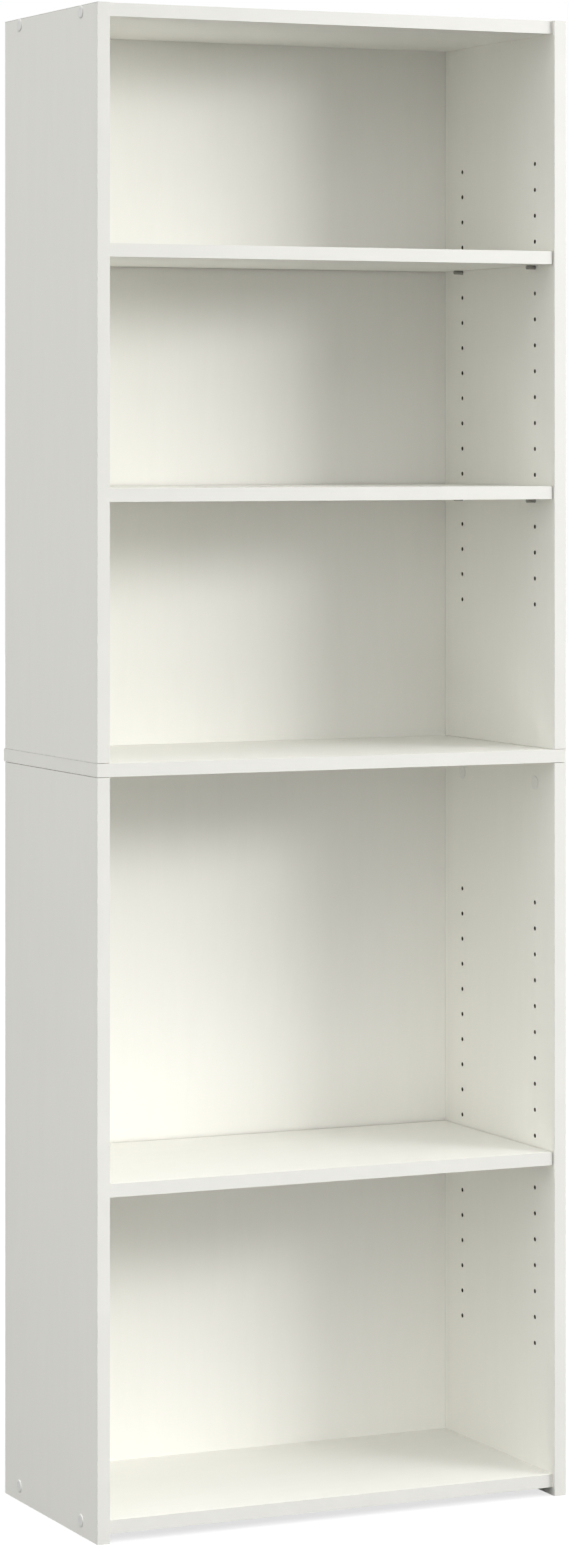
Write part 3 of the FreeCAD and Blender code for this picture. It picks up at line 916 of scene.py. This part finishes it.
@dataclass(frozen=True)
class Beech(Finish):
    """Turned beech: warm tone with short darker flecks along the grain."""

    tones: Range = (0.8, 1.15)
    strength: float = 0.6
    relief: float = 0.05 * MM
    run: Sequence[float] = (1.0, 1.0, 0.08)
    pores: float = 2200.0
    figure: float = 420.0
    sheen: Range = (0.08, -0.05)

    def wire(self, graph: Graph, shader: bpy.types.Node) -> None:
        """Feeds grain to colour, roughness and bump.

        Args:
            graph: the material's tree.
            shader: its principled shader.
        """
        along = self.place(graph, self.run)
        grain = graph.group(PrintedGrain.tree(), vector=along, pores=self.pores, figure=self.figure)
        graph.feed(shader, "Base Color", self.tint(graph, grain.outputs["Tone"]))
        graph.feed(shader, "Roughness", self.satin(graph, grain.outputs["Height"], self.sheen))
        self.emboss(graph, shader, grain.outputs["Height"])


@dataclass(frozen=True)
class StudioFloor(Finish):
    """Plain pale floor that glows a little of itself, and throws hardly any light back up."""

    tones: Range = (0.99, 1.0)
    patches: float = 0.8
    sheen: Range = (0.0, 0.05)
    glow: float = 0.72
    thrown: float = 0.04

    def wire(self, graph: Graph, shader: bpy.types.Node) -> None:
        """Feeds slow patches to colour and roughness, and keeps the glow to what the eye meets.

        Args:
            graph: the material's tree.
            shader: its principled shader.
        """
        patches = graph.group(Handling.tree(), vector=self.place(graph), scale=self.patches)
        graph.feed(shader, "Base Color", self.tint(graph, patches.outputs["Mask"]))
        graph.feed(shader, "Roughness", self.satin(graph, patches.outputs["Mask"], self.sheen))
        shader.inputs["Emission Color"].default_value = WHITE
        shader.inputs["Emission Strength"].default_value = self.glow
        dull = graph.add("BsdfDiffuse", None, {"Color": (self.thrown, self.thrown, self.thrown, 1.0)})
        seen = graph.add("LightPath").outputs["Is Camera Ray"]
        both = graph.add("MixShader", None, {0: seen, 1: dull.outputs[0], 2: shader.outputs[0]})
        surface = next(node for node in graph.tree.nodes if node.type == "OUTPUT_MATERIAL")
        graph.feed(surface, "Surface", both.outputs[0])


# The uprights' film is much darker along its rounded arrises: painted shade, the dark lines along the edges.
UPRIGHT_FILM = DecorFilm("upright_film", (0.910, 0.905, 0.850, 1.0), 0.48, run=Run.UPRIGHT,
                         arris_tone=0.42, arris_share=0.95)
SHELF_FILM = DecorFilm("shelf_film", (0.915, 0.910, 0.862, 1.0), 0.48, run=Run.LEVEL)
BACK_FOIL = DecorFilm("back_foil", (0.915, 0.907, 0.855, 1.0), 0.52, run=Run.UPRIGHT, relief=0.020 * MM)
# The edge strips are coloured darker than the film so their front faces come out less bright: painted shade
# on faces that look forward. The end strips, which look sideways, keep nearly the film's colour.
WHITE_EDGING = Edging("satin_edging", (0.828, 0.822, 0.776, 1.0), 0.44)
# The uprights' strips are darker along their rounded arrises too: painted shade.
UPRIGHT_EDGING = Edging("upright_edging", (0.828, 0.822, 0.776, 1.0), 0.44, arris_tone=0.60, arris_share=0.9)
END_EDGING = Edging("end_edging", (0.900, 0.895, 0.843, 1.0), 0.48)
RAW_CHIPBOARD = Chipboard("raw_chipboard", (0.40, 0.300, 0.190, 1.0), 0.82, 0.3)
# The core inside the holes is far darker than the sawn core: painted shade in the holes.
HOLE_SHADE_CHIPBOARD = Chipboard("bored_chipboard", (0.095, 0.080, 0.060, 1.0), 0.88, 0.15)
BROWN_HARDBOARD = Hardboard("brown_hardboard", (0.235, 0.142, 0.078, 1.0), 0.68, 0.35)
WHITE_MOULDING = Moulding("white_moulding", (0.865, 0.865, 0.835, 1.0), 0.34)
PLATED_STEEL = Metal("plated_steel", (0.58, 0.58, 0.565, 1.0), 0.30, turning=9000.0)
# The pins' steel is darker than the other steel: painted shade, for the shade that falls on the pins under
# the shelves.
PIN_STEEL = Metal("pin_steel", (0.37, 0.368, 0.350, 1.0), 0.34, turning=9000.0)
CAST_ZINC = Metal("cast_zinc", (0.50, 0.50, 0.50, 1.0), 0.42)
NAIL_STEEL = Metal("nail_steel", (0.55, 0.545, 0.53, 1.0), 0.36)
PLAIN_BEECH = Beech("plain_beech", (0.60, 0.42, 0.255, 1.0), 0.55)
PALE_FLOOR = StudioFloor("pale_floor", (0.30, 0.30, 0.30, 1.0), 0.75, 0.1)


def dress(obj: bpy.types.Object, finishes: Sequence[Finish],
          choose: Callable[[Vector], int] = lambda normal: 0) -> None:
    """Gives a piece its finishes, one chosen for each face by the way it faces.

    Args:
        obj: the piece.
        finishes: its materials, in the order of its slots.
        choose: the slot for a face with this normal.
    """
    obj.data.materials.clear()
    for finish in finishes:
        obj.data.materials.append(finish.material())
    for face in obj.data.polygons:
        face.material_index = choose(face.normal)


# ---------------------------------------------------------------- bores
@dataclass(frozen=True)
class Bore:
    """One drilled hole: its mouth, its direction and the outline of the drill."""

    mouth: Vector
    into: Vector
    outline: Rings
    sides: int = 32

    def tool(self, finishes: Sequence[Finish]) -> bpy.types.Object:
        """The drill's shape where it cuts.

        Args:
            finishes: the board's finishes, the last of which is the bore's.

        Returns:
            The shape to cut away.
        """
        tool = turned("bore", self.outline, self.mouth, self.into, self.sides)
        dress(tool, finishes, lambda normal: len(finishes) - 1)
        return tool


@dataclass(frozen=True)
class PinHoles:
    """Two vertical lines of pin holes in the inner face of one upright."""

    mount: dict
    rows: int = 18
    depth: float = 12.0 * MM
    burr: float = 0.12 * MM
    overshoot: float = 0.5 * MM
    spur_radius: float = 0.7 * MM
    spur_length: float = 0.6 * MM
    spur_taper: float = 4.0

    def tool(self, finishes: Sequence[Finish]) -> bpy.types.Object:
        """All the drills of both lines, repeated from the lowest one at the front.

        Args:
            finishes: the board's finishes, the last of which is the bores'.

        Returns:
            The shapes to cut away, as one object.
        """
        dims = self.mount["dims"]
        radius = dims["hole_r_mm"] * MM
        lines = dims["spacing_x_mm"] * MM
        run = dims["spacing_y_mm"] * MM
        into = -Vector(self.mount["axis"])
        lowest = Vector(self.mount["pos_m"]) - Y_AXIS * lines / 2 - Z_AXIS * run / 2
        outline = [(-self.overshoot, radius + self.burr), (0.0, radius + self.burr), (self.burr, radius),
                   (self.depth, radius), (self.depth, self.spur_radius),
                   (self.depth + self.spur_length, self.spur_radius / self.spur_taper)]
        tool = Bore(lowest, into, outline).tool(finishes)
        repeat(tool, 2, Y_AXIS * lines)
        repeat(tool, self.rows, Z_AXIS * run / (self.rows - 1))
        return tool


@dataclass(frozen=True)
class Fittings:
    """Sizes of the hidden fittings and their bores, and their places from the boxes of their nodes."""

    screw_head: float = 4.8 * MM
    cam: float = 7.4 * MM
    cam_dowel: float = 3.4 * MM
    wood_dowel: float = 4.0 * MM
    overshoot: float = 0.5 * MM
    counterbore: Range = (2.2 * MM, 4.9 * MM)
    cone_depth: float = 3.6 * MM
    shank_bore: Range = (16.4 * MM, 3.5 * MM)
    cam_bore: Range = (12.4 * MM, 7.5 * MM)
    cam_sides: int = 48
    channel: Range = (28.0 * MM, 3.5 * MM)
    dowel_bore: Range = (20.0 * MM, 4.05 * MM)
    digits: int = 4

    def lines(self, node: str, radius: float) -> list[float]:
        """Depths of the front and rear fitting, from the box of a group of round pieces."""
        low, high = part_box(node)
        return [low.y + radius, high.y - radius]

    def screw_lines(self) -> list[float]:
        """Depths of the panel screws."""
        return self.lines("panel_screws", self.screw_head)

    def screw_heights(self) -> dict[Tier, float]:
        """Heights of the panel screws in the bottom shelf and in the top panel."""
        low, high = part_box("panel_screws")
        return {Tier.LOWER: low.z + self.screw_head, Tier.UPPER: high.z - self.screw_head}

    def cam_height(self) -> float:
        """Height of the cam locks."""
        low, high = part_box("cam_locks")
        return (low.z + high.z) / 2

    def middle_of_board(self, side: Side) -> float:
        """Place across the bookcase of the middle of an upright."""
        low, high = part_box("upper_right_upright")
        return side.value * (low.x + high.x) / 2

    def straight(self, bore: Range) -> Rings:
        """Outline of a plain drill, from a bore's depth and radius."""
        depth, radius = bore
        return [(-self.overshoot, radius), (depth, radius)]

    def screw_bores(self, side: Side, tier: Tier) -> list[Bore]:
        """Stepped holes through an upright for its panel screws.

        Args:
            side: which upright.
            tier: which half it stands in.

        Returns:
            The front and the rear hole.
        """
        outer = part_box("upper_right_upright")[1].x
        outline = [(-self.overshoot, self.counterbore[1]), self.counterbore,
                   (self.cone_depth, self.shank_bore[1]), self.shank_bore]
        height = self.screw_heights()[tier]
        return [Bore(Vector((side.value * outer, line, height)), -X_AXIS * side.value, outline)
                for line in self.screw_lines()]

    def cam_bores(self, side: Side) -> list[Bore]:
        """Shallow wide holes for the cam locks in a lower upright.

        Args:
            side: which upright.

        Returns:
            The front and the rear hole.
        """
        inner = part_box("lower_right_upright")[0].x
        outline = self.straight(self.cam_bore)
        return [Bore(Vector((side.value * inner, line, self.cam_height())), X_AXIS * side.value, outline,
                     self.cam_sides) for line in self.lines("cam_locks", self.cam)]

    def cam_channels(self, side: Side) -> list[Bore]:
        """Holes down the end of a lower upright to its cam locks.

        Args:
            side: which upright.

        Returns:
            The front and the rear hole.
        """
        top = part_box("lower_right_upright")[1].z
        outline = self.straight(self.channel)
        return [Bore(Vector((self.middle_of_board(side), line, top)), -Z_AXIS, outline)
                for line in self.lines("cam_dowels", self.cam_dowel)]

    def dowel_bores(self, side: Side, tier: Tier) -> list[Bore]:
        """Holes in the end of an upright for its wooden dowels.

        Args:
            side: which upright.
            tier: which half it stands in.

        Returns:
            One hole for each dowel.
        """
        places = self.lines(tier.value + "_wood_dowels", self.wood_dowel)
        lines = sorted({round(place, self.digits) for place in places})
        low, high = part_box(f"{tier.value}_right_upright")
        end, into = (high.z, -Z_AXIS) if tier is Tier.LOWER else (low.z, Z_AXIS)
        return [Bore(Vector((self.middle_of_board(side), line, end)), into, self.straight(self.dowel_bore))
                for line in lines]


# ---------------------------------------------------------------- boards and edge strips
@dataclass
class Board:
    """A film-faced chipboard panel: film on two broad faces, raw core on its edges."""

    name: str
    node: str
    body: str
    film: Finish
    thin: Vector
    arris: float = 0.18 * MM
    arris_segments: int = 2
    low_gap: Vector = NOWHERE
    high_gap: Vector = NOWHERE

    def finishes(self) -> list[Finish]:
        """Film first, then the sawn core, then the core inside a bore, darkened as painted shade."""
        return [self.film, RAW_CHIPBOARD, HOLE_SHADE_CHIPBOARD]

    def slot_for(self, normal: Vector) -> int:
        """Core on the straight edges, film on the broad faces and round the arrises."""
        squarely = max(abs(part) for part in normal) > SQUARE
        return 1 if squarely and abs(normal.dot(self.thin)) < FACING else 0

    def sawn(self) -> bpy.types.Object:
        """The panel before it is bored, with its arrises eased and its finishes on.

        Returns:
            The panel.
        """
        low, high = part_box(self.node)
        board = block(self.name, low + self.low_gap, high - self.high_gap)
        round_edges(board, self.arris, self.arris_segments)
        dress(board, self.finishes(), self.slot_for)
        return board

    def build(self, tools: Sequence[Sequence[Bore] | PinHoles] = ()) -> bpy.types.Object:
        """Makes the finished panel.

        Args:
            tools: groups of bores, each cut in one go.

        Returns:
            The panel, riding on its body.
        """
        board = self.sawn()
        for tool in tools:
            if isinstance(tool, PinHoles):
                cut(board, tool.tool(self.finishes()))
            elif tool:
                cut(board, joined("bores", [bore.tool(self.finishes()) for bore in tool]))
        polish(board)
        mark_arrises(board)
        hand_over(board, self.body, "white_board", self.node)
        return board


@dataclass
class Strip:
    """One edge strip between two corners, its outer long edges rounded over."""

    low: Vector
    high: Vector
    outward: Vector
    round: float = 0.42 * MM
    round_segments: int = 4
    end_round: float = 0.16 * MM
    end_segments: int = 2
    lengthwise: float = 0.99
    crosswise: float = 0.01

    def build(self) -> bpy.types.Object:
        """The strip as a closed solid.

        Returns:
            The strip, at the origin, with its place in its mesh.
        """
        strip = block("strip", self.low, self.high)
        centre = (self.low + self.high) / 2
        long_way = max((X_AXIS, Y_AXIS, Z_AXIS), key=lambda axis: abs(axis.dot(self.high - self.low)))

        def outer(a: Vector, b: Vector) -> bool:
            """True for an edge on the outer face."""
            return min((a - centre).dot(self.outward), (b - centre).dot(self.outward)) > 0

        def on_outside(a: Vector, b: Vector) -> bool:
            """True for a long edge on the outer face."""
            return outer(a, b) and abs((b - a).normalized().dot(long_way)) > self.lengthwise

        def across_end(a: Vector, b: Vector) -> bool:
            """True for an outer edge at either end."""
            return outer(a, b) and abs((b - a).normalized().dot(long_way)) < self.crosswise

        round_edges(strip, self.end_round, self.end_segments, across_end)
        round_edges(strip, self.round, self.round_segments, on_outside)
        return strip


@dataclass
class Banding:
    """All the edge strips of one board, as one piece."""

    name: str
    node: str
    body: str
    strips: Sequence[Strip]
    finish: Finish = WHITE_EDGING
    ends: Finish | None = None
    sideways: float = 0.7

    def slot_for(self, normal: Vector) -> int:
        """The finish of the ends on faces to the left and right, the plain one, darkened as painted shade,
        elsewhere.
        """
        return 1 if self.ends is not None and abs(normal.x) > self.sideways else 0

    def build(self) -> bpy.types.Object:
        """Makes, joins and dresses the strips.

        Returns:
            The banding, riding on its body.
        """
        piece = joined(self.name, [strip.build() for strip in self.strips])
        polish(piece)
        mark_arrises(piece)
        dress(piece, [self.finish] if self.ends is None else [self.finish, self.ends], self.slot_for)
        hand_over(piece, self.body, "white_edging", self.node)
        return piece


@dataclass
class Upright:
    """One side board of one tier with its banding."""

    side: Side
    tier: Tier
    gap_under_shelf: float = 0.5 * MM
    gap_over_shelf: float = 0.12 * MM
    strip_gap_over_shelf: float = 0.6 * MM
    arris: float = 0.3 * MM

    def stem(self) -> str:
        """The upright's name, as its nodes begin."""
        return f"{self.tier.value}_{self.side.name.lower()}_upright"

    def gaps(self) -> tuple[Vector, Vector]:
        """Hair's breadth kept from the middle shelf.

        Returns:
            The gap at the low end and the gap at the high end.
        """
        if self.tier is Tier.LOWER:
            return NOWHERE, Z_AXIS * self.gap_under_shelf
        return Z_AXIS * self.gap_over_shelf, NOWHERE

    def pin_holes(self) -> PinHoles:
        """The pin holes of this upright, from the record's mount."""
        name = f"{self.tier.value}_{self.side.name.lower()}_pin_holes"
        return PinHoles(next(mount for mount in frame["record"]["mounts"] if mount["name"] == name))

    def build(self) -> None:
        """Makes the bored board and its banding."""
        places = Fittings()
        low_gap, high_gap = self.gaps()
        tools: list = [self.pin_holes(), places.screw_bores(self.side, self.tier),
                       places.dowel_bores(self.side, self.tier)]
        if self.tier is Tier.LOWER:
            tools += [places.cam_bores(self.side), places.cam_channels(self.side)]
        Board(self.stem() + "_board", self.stem(), "carcass", UPRIGHT_FILM, X_AXIS, self.arris,
              low_gap=low_gap, high_gap=high_gap).build(tools)
        suffix = "_edge_strip" if self.tier is Tier.LOWER else "_edge_strips"
        node = self.stem() + suffix
        core_low, core_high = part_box(self.stem())
        low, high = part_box(node)
        foot = low.z if self.tier is Tier.LOWER else low.z + self.strip_gap_over_shelf
        head = high.z - high_gap.z
        strips = [Strip(Vector((low.x, low.y, foot)), Vector((high.x, core_low.y, head)), -Y_AXIS)]
        if self.tier is Tier.UPPER:
            strips.append(Strip(Vector((low.x, core_low.y, core_high.z)), high, Z_AXIS))
        Banding(self.stem() + "_banding", node, "carcass", strips, UPRIGHT_EDGING).build()


@dataclass
class Shelf:
    """A level board with a banded front edge: top panel, bottom shelf or adjustable shelf."""

    node: str
    body: str

    def build(self) -> None:
        """Makes the board and its banding."""
        Board(self.node + "_board", self.node, self.body, SHELF_FILM, Z_AXIS).build()
        node = self.node + "_edge_strip"
        low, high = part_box(node)
        Banding(self.node + "_banding", node, self.body, [Strip(low, high, -Y_AXIS)]).build()


@dataclass
class MiddleShelf:
    """The fixed shelf between the tiers, banded at its front and both ends."""

    node: str = "middle_shelf"

    def build(self) -> None:
        """Makes the board and its three strips."""
        Board(self.node + "_board", self.node, "carcass", SHELF_FILM, Z_AXIS).build()
        node = self.node + "_edge_strips"
        low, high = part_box(node)
        core_low, core_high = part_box(self.node)
        strips = [Strip(low, Vector((high.x, core_low.y, high.z)), -Y_AXIS),
                  Strip(Vector((low.x, core_low.y, low.z)), Vector((core_low.x, high.y, high.z)), -X_AXIS),
                  Strip(Vector((core_high.x, core_low.y, low.z)), high, X_AXIS)]
        Banding(self.node + "_banding", node, "carcass", strips, ends=END_EDGING).build()


@dataclass
class BackSheet:
    """Thin hardboard sheet nailed on behind one tier: white foil in front, bare brown behind."""

    tier: Tier
    arris: float = 0.12 * MM

    def slot_for(self, normal: Vector) -> int:
        """Foil on the front face, bare hardboard everywhere else."""
        return 0 if normal.y < -FACING else 1

    def build(self) -> None:
        """Makes the sheet with its edges eased by the saw."""
        node = self.tier.value + "_back_panel"
        low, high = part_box(node)
        sheet = block(self.tier.value + "_back_sheet", low, high)
        round_edges(sheet, self.arris, 1)
        polish(sheet)
        mark_arrises(sheet)
        dress(sheet, [BACK_FOIL, BROWN_HARDBOARD], self.slot_for)
        hand_over(sheet, "carcass", "back_sheet", node)


# ---------------------------------------------------------------- pins, covers and fittings
@dataclass
class ShelfPin:
    """Plain steel pin that a shelf rests on, rounded at its free end and chamfered at the other."""

    chamfer: float = 0.4 * MM
    end_round: float = 0.9 * MM
    end_steps: int = 5
    sides: int = 40
    soft_angle: float = 35.0

    def outline(self, length: float, radius: float) -> Rings:
        """Rings of the pin from its inner end to its free end.

        Args:
            length: the pin's length.
            radius: its radius.

        Returns:
            (distance along the axis, radius) pairs.
        """
        shoulder = length - self.end_round
        return ([(0.0, radius - self.chamfer), (self.chamfer, radius)]
                + rounded_end((shoulder, radius - self.end_round), self.end_round, self.end_steps))

    def build(self, name: str, node: str, side: Side) -> bpy.types.Object:
        """Makes one pin where its node is.

        Args:
            name: name of the piece.
            node: the node that it stands for.
            side: which upright it is in.

        Returns:
            The pin, not yet handed over.
        """
        low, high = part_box(node)
        centre = (low + high) / 2
        start = Vector((side.value * max(abs(low.x), abs(high.x)), centre.y, centre.z))
        outline = self.outline(high.x - low.x, (high.z - low.z) / 2)
        pin = turned(name, outline, start, -X_AXIS * side.value, self.sides)
        polish(pin, self.soft_angle)
        dress(pin, [PIN_STEEL])
        return pin


@dataclass
class PinSet:
    """The twelve pins: one made for each side, the others copied from it."""

    shelves: int = 3

    def build(self) -> None:
        """Makes and hands over every pin."""
        for side in Side:
            pattern = None
            for number in range(1, self.shelves + 1):
                for line in Line:
                    stem = f"shelf_{number}_pin_{line.name.lower()}_{side.name.lower()}"
                    if pattern is None:
                        pattern, home = ShelfPin().build(stem + "_turned", stem, side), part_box(stem)[0]
                        pin = pattern
                    else:
                        pin = copied(pattern, stem + "_turned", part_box(stem)[0] - home)
                    hand_over(pin, stem, "bright_steel", stem)


@dataclass
class CoverSet:
    """Round push-in covers of one kind, one at each corner of a grid."""

    name: str
    node: str
    disc_radius: float
    rim: float
    height: float
    bevel: float
    peg_radius: float
    peg_length: float
    faces_out: bool
    soft: float = 0.25 * MM
    dish: float = 0.15 * MM
    gate: float = 0.6 * MM
    gate_top: float = 0.45 * MM
    gate_sunk: float = 0.05 * MM
    sides: int = 56
    soft_angle: float = 30.0

    def outline(self) -> Rings:
        """Rings of one cover from the end of its peg to the middle of its dished face.

        Returns:
            (distance along the axis, radius) pairs.
        """
        flat = self.disc_radius - self.bevel
        soft = self.soft
        floor = self.height - self.dish
        return [(-self.peg_length, self.peg_radius - soft), (soft - self.peg_length, self.peg_radius),
                (0.0, self.peg_radius), (0.0, self.disc_radius - soft / 2), (soft / 2, self.disc_radius),
                (self.rim, self.disc_radius), (self.rim + soft, self.disc_radius - soft),
                (self.height - soft / 2, flat + soft), (self.height, flat - soft),
                (self.height, flat - 2 * soft), (floor, flat - 5 * soft),
                (floor, self.gate), (self.height - self.gate_sunk, self.gate_top)]

    def build(self, heights: Sequence[float]) -> None:
        """Makes one cover for each side, copies it to every place and joins them.

        Args:
            heights: the heights that the covers sit at.
        """
        low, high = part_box(self.node)
        face = high.x - self.height
        lines = (low.y + self.disc_radius, high.y - self.disc_radius)
        covers = []
        for side in Side:
            outward = X_AXIS * side.value if self.faces_out else -X_AXIS * side.value
            x = side.value * (face if self.faces_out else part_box("lower_right_upright")[0].x)
            first = Vector((x, lines[0], heights[0]))
            pattern = turned("cover", self.outline(), first, outward, self.sides)
            polish(pattern, self.soft_angle)
            covers.append(pattern)
            places = [Vector((x, line, height)) for line in lines for height in heights][1:]
            covers += [copied(pattern, "cover", place - first) for place in places]
        piece = joined(self.name, covers)
        dress(piece, [WHITE_MOULDING])
        hand_over(piece, "carcass", "white_plastic", self.node)


@dataclass
class HiddenFittings:
    """Screws, cams, dowels and nails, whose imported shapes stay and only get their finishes."""

    finishes: dict

    def build(self) -> None:
        """Puts a finish in every material slot of each kept node."""
        for node, finish in self.finishes.items():
            obj = frame["nodes"][node]
            if not obj.data.materials:
                obj.data.materials.append(None)
            for slot in obj.material_slots:
                slot.material = finish.material()
            LOG.info("%-36s keeps its packed shape", node)


# ---------------------------------------------------------------- studio
@dataclass(frozen=True)
class Softbox:
    """One soft light with an oblong face, aimed at the bookcase.

    Its bearing is in degrees from straight in front towards +X.
    """

    name: str
    bearing: float
    distance: float
    height: float
    width: float
    tall: float
    power: float
    aim: float = 0.95

    def build(self) -> None:
        """Hangs the light and turns it to the bookcase."""
        bearing = math.radians(self.bearing)
        place = Vector((math.sin(bearing) * self.distance, -math.cos(bearing) * self.distance, self.height))
        back = place - Vector((0.0, 0.0, self.aim))
        deselect()
        turn = back.to_track_quat("Z", "Y").to_euler()
        bpy.ops.object.light_add(type="AREA", location=place, rotation=turn)
        light = bpy.context.object
        light.name = self.name
        light.data.shape = "RECTANGLE"
        light.data.size = self.width
        light.data.size_y = self.tall
        light.data.energy = self.power


@dataclass
class Studio:
    """Floor, surroundings, lights and camera."""

    floor_size: float = 40.0
    surround: float = 0.50
    overhead: float = 1.0
    backdrop: float = 1.0
    lens: float = 106.03
    sensor: float = 36.0
    shift: tuple[float, float] = (0.0871, -0.2175)
    stand: tuple[float, float, float] = (-2.4089, -5.0465, 1.2985)
    turn: float = 23.824
    far_clip: float = 100.0
    lights: Sequence[Softbox] = (
        Softbox("key_softbox", 42.0, 5.0, 2.3, 2.0, 1.0, 78.0),
        Softbox("high_softbox", 45.0, 7.0, 2.96, 2.6, 1.2, 82.0),
        Softbox("right_fill", 62.0, 5.0, 1.2, 1.6, 1.6, 38.0),
        Softbox("low_fill", -22.0, 1.4, 0.32, 1.2, 0.5, 2.7, 0.2),
        Softbox("left_front_fill", -55.0, 5.0, 1.2, 2.4, 2.4, 13.0),
        Softbox("left_fill", -90.0, 5.0, 1.2, 2.4, 2.4, 39.0),
    )

    def build(self) -> None:
        """Sets up everything round the bookcase."""
        self.lay_floor()
        self.surroundings()
        for light in self.lights:
            light.build()
        self.camera()

    def lay_floor(self) -> None:
        """Plain pale floor under the lowest point of the bookcase."""
        deselect()
        bpy.ops.mesh.primitive_plane_add(size=self.floor_size, location=(0.0, 0.0, CAD_BOX[0].z))
        floor = bpy.context.object
        floor.name = "studio_floor"
        bpy.ops.object.transform_apply(location=True, rotation=True, scale=True)
        dress(floor, [PALE_FLOOR])

    def surroundings(self) -> None:
        """White backdrop for the camera, softer light for the bookcase, strongest from overhead."""
        world = bpy.data.worlds.new("white_room")
        bpy.context.scene.world = world
        world.use_nodes = True
        world.node_tree.nodes.clear()
        graph = Graph(world.node_tree)
        way = graph.add("TexCoord").outputs["Generated"]
        height = graph.add("SeparateXYZ", None, {0: way}).outputs["Z"]
        above = graph.maths("MULTIPLY", graph.maths("MAXIMUM", height, 0.0), self.overhead)
        light = graph.add("Background", None, {"Color": WHITE,
                                               "Strength": graph.maths("ADD", above, self.surround)})
        seen = graph.add("Background", None, {"Color": WHITE, "Strength": self.backdrop})
        ray = graph.add("LightPath").outputs["Is Camera Ray"]
        both = graph.add("MixShader", None, {0: ray, 1: light.outputs[0], 2: seen.outputs[0]})
        graph.add("OutputWorld", None, {"Surface": both.outputs[0]})
        bpy.context.scene.view_settings.view_transform = "Standard"

    def camera(self) -> None:
        """Level camera at eye height, ahead and to the left of the bookcase."""
        deselect()
        aim = (math.radians(90.0), 0.0, -math.radians(self.turn))
        bpy.ops.object.camera_add(location=self.stand, rotation=aim)
        camera = bpy.context.object
        camera.name = "camera"
        camera.data.lens = self.lens
        camera.data.sensor_width = self.sensor
        camera.data.shift_x, camera.data.shift_y = self.shift
        camera.data.clip_end = self.far_clip
        camera.data.dof.use_dof = False
        bpy.context.scene.camera = camera


# ---------------------------------------------------------------- assembly
def build_carcass() -> None:
    """The four uprights, the fixed boards and the back sheets."""
    for tier in Tier:
        for side in Side:
            Upright(side, tier).build()
        BackSheet(tier).build()
    MiddleShelf().build()
    for node in ("top_panel", "bottom_shelf"):
        Shelf(node, "carcass").build()


def build_shelves() -> None:
    """The three adjustable shelves and their pins."""
    for number in range(1, 4):
        node = f"adjustable_shelf_{number}"
        Shelf(node, node).build()
    PinSet().build()


def build_fittings() -> None:
    """Covers over the screws and cams, and finishes for what stays hidden."""
    places = Fittings()
    CoverSet("screw_cover_caps", "screw_covers", disc_radius=7.5 * MM, rim=0.6 * MM, height=1.2 * MM,
             bevel=1.6 * MM, peg_radius=1.8 * MM, peg_length=2.2 * MM,
             faces_out=True).build(list(places.screw_heights().values()))
    CoverSet("cam_cover_caps", "cam_lock_covers", disc_radius=8.5 * MM, rim=0.7 * MM, height=1.2 * MM,
             bevel=1.6 * MM, peg_radius=1.5 * MM, peg_length=1.4 * MM,
             faces_out=False).build([places.cam_height()])
    HiddenFittings({"panel_screws": PLATED_STEEL, "cam_locks": CAST_ZINC, "cam_dowels": PLATED_STEEL,
                    "lower_wood_dowels": PLAIN_BEECH, "upper_wood_dowels": PLAIN_BEECH,
                    "lower_back_nails": NAIL_STEEL, "upper_back_nails": NAIL_STEEL}).build()


def main() -> None:
    """Builds the bookcase and its studio in order."""
    logging.basicConfig(level=logging.INFO, format="%(message)s")
    build_carcass()
    build_shelves()
    build_fittings()
    Studio().build()


if __name__ == "__main__":
    main()
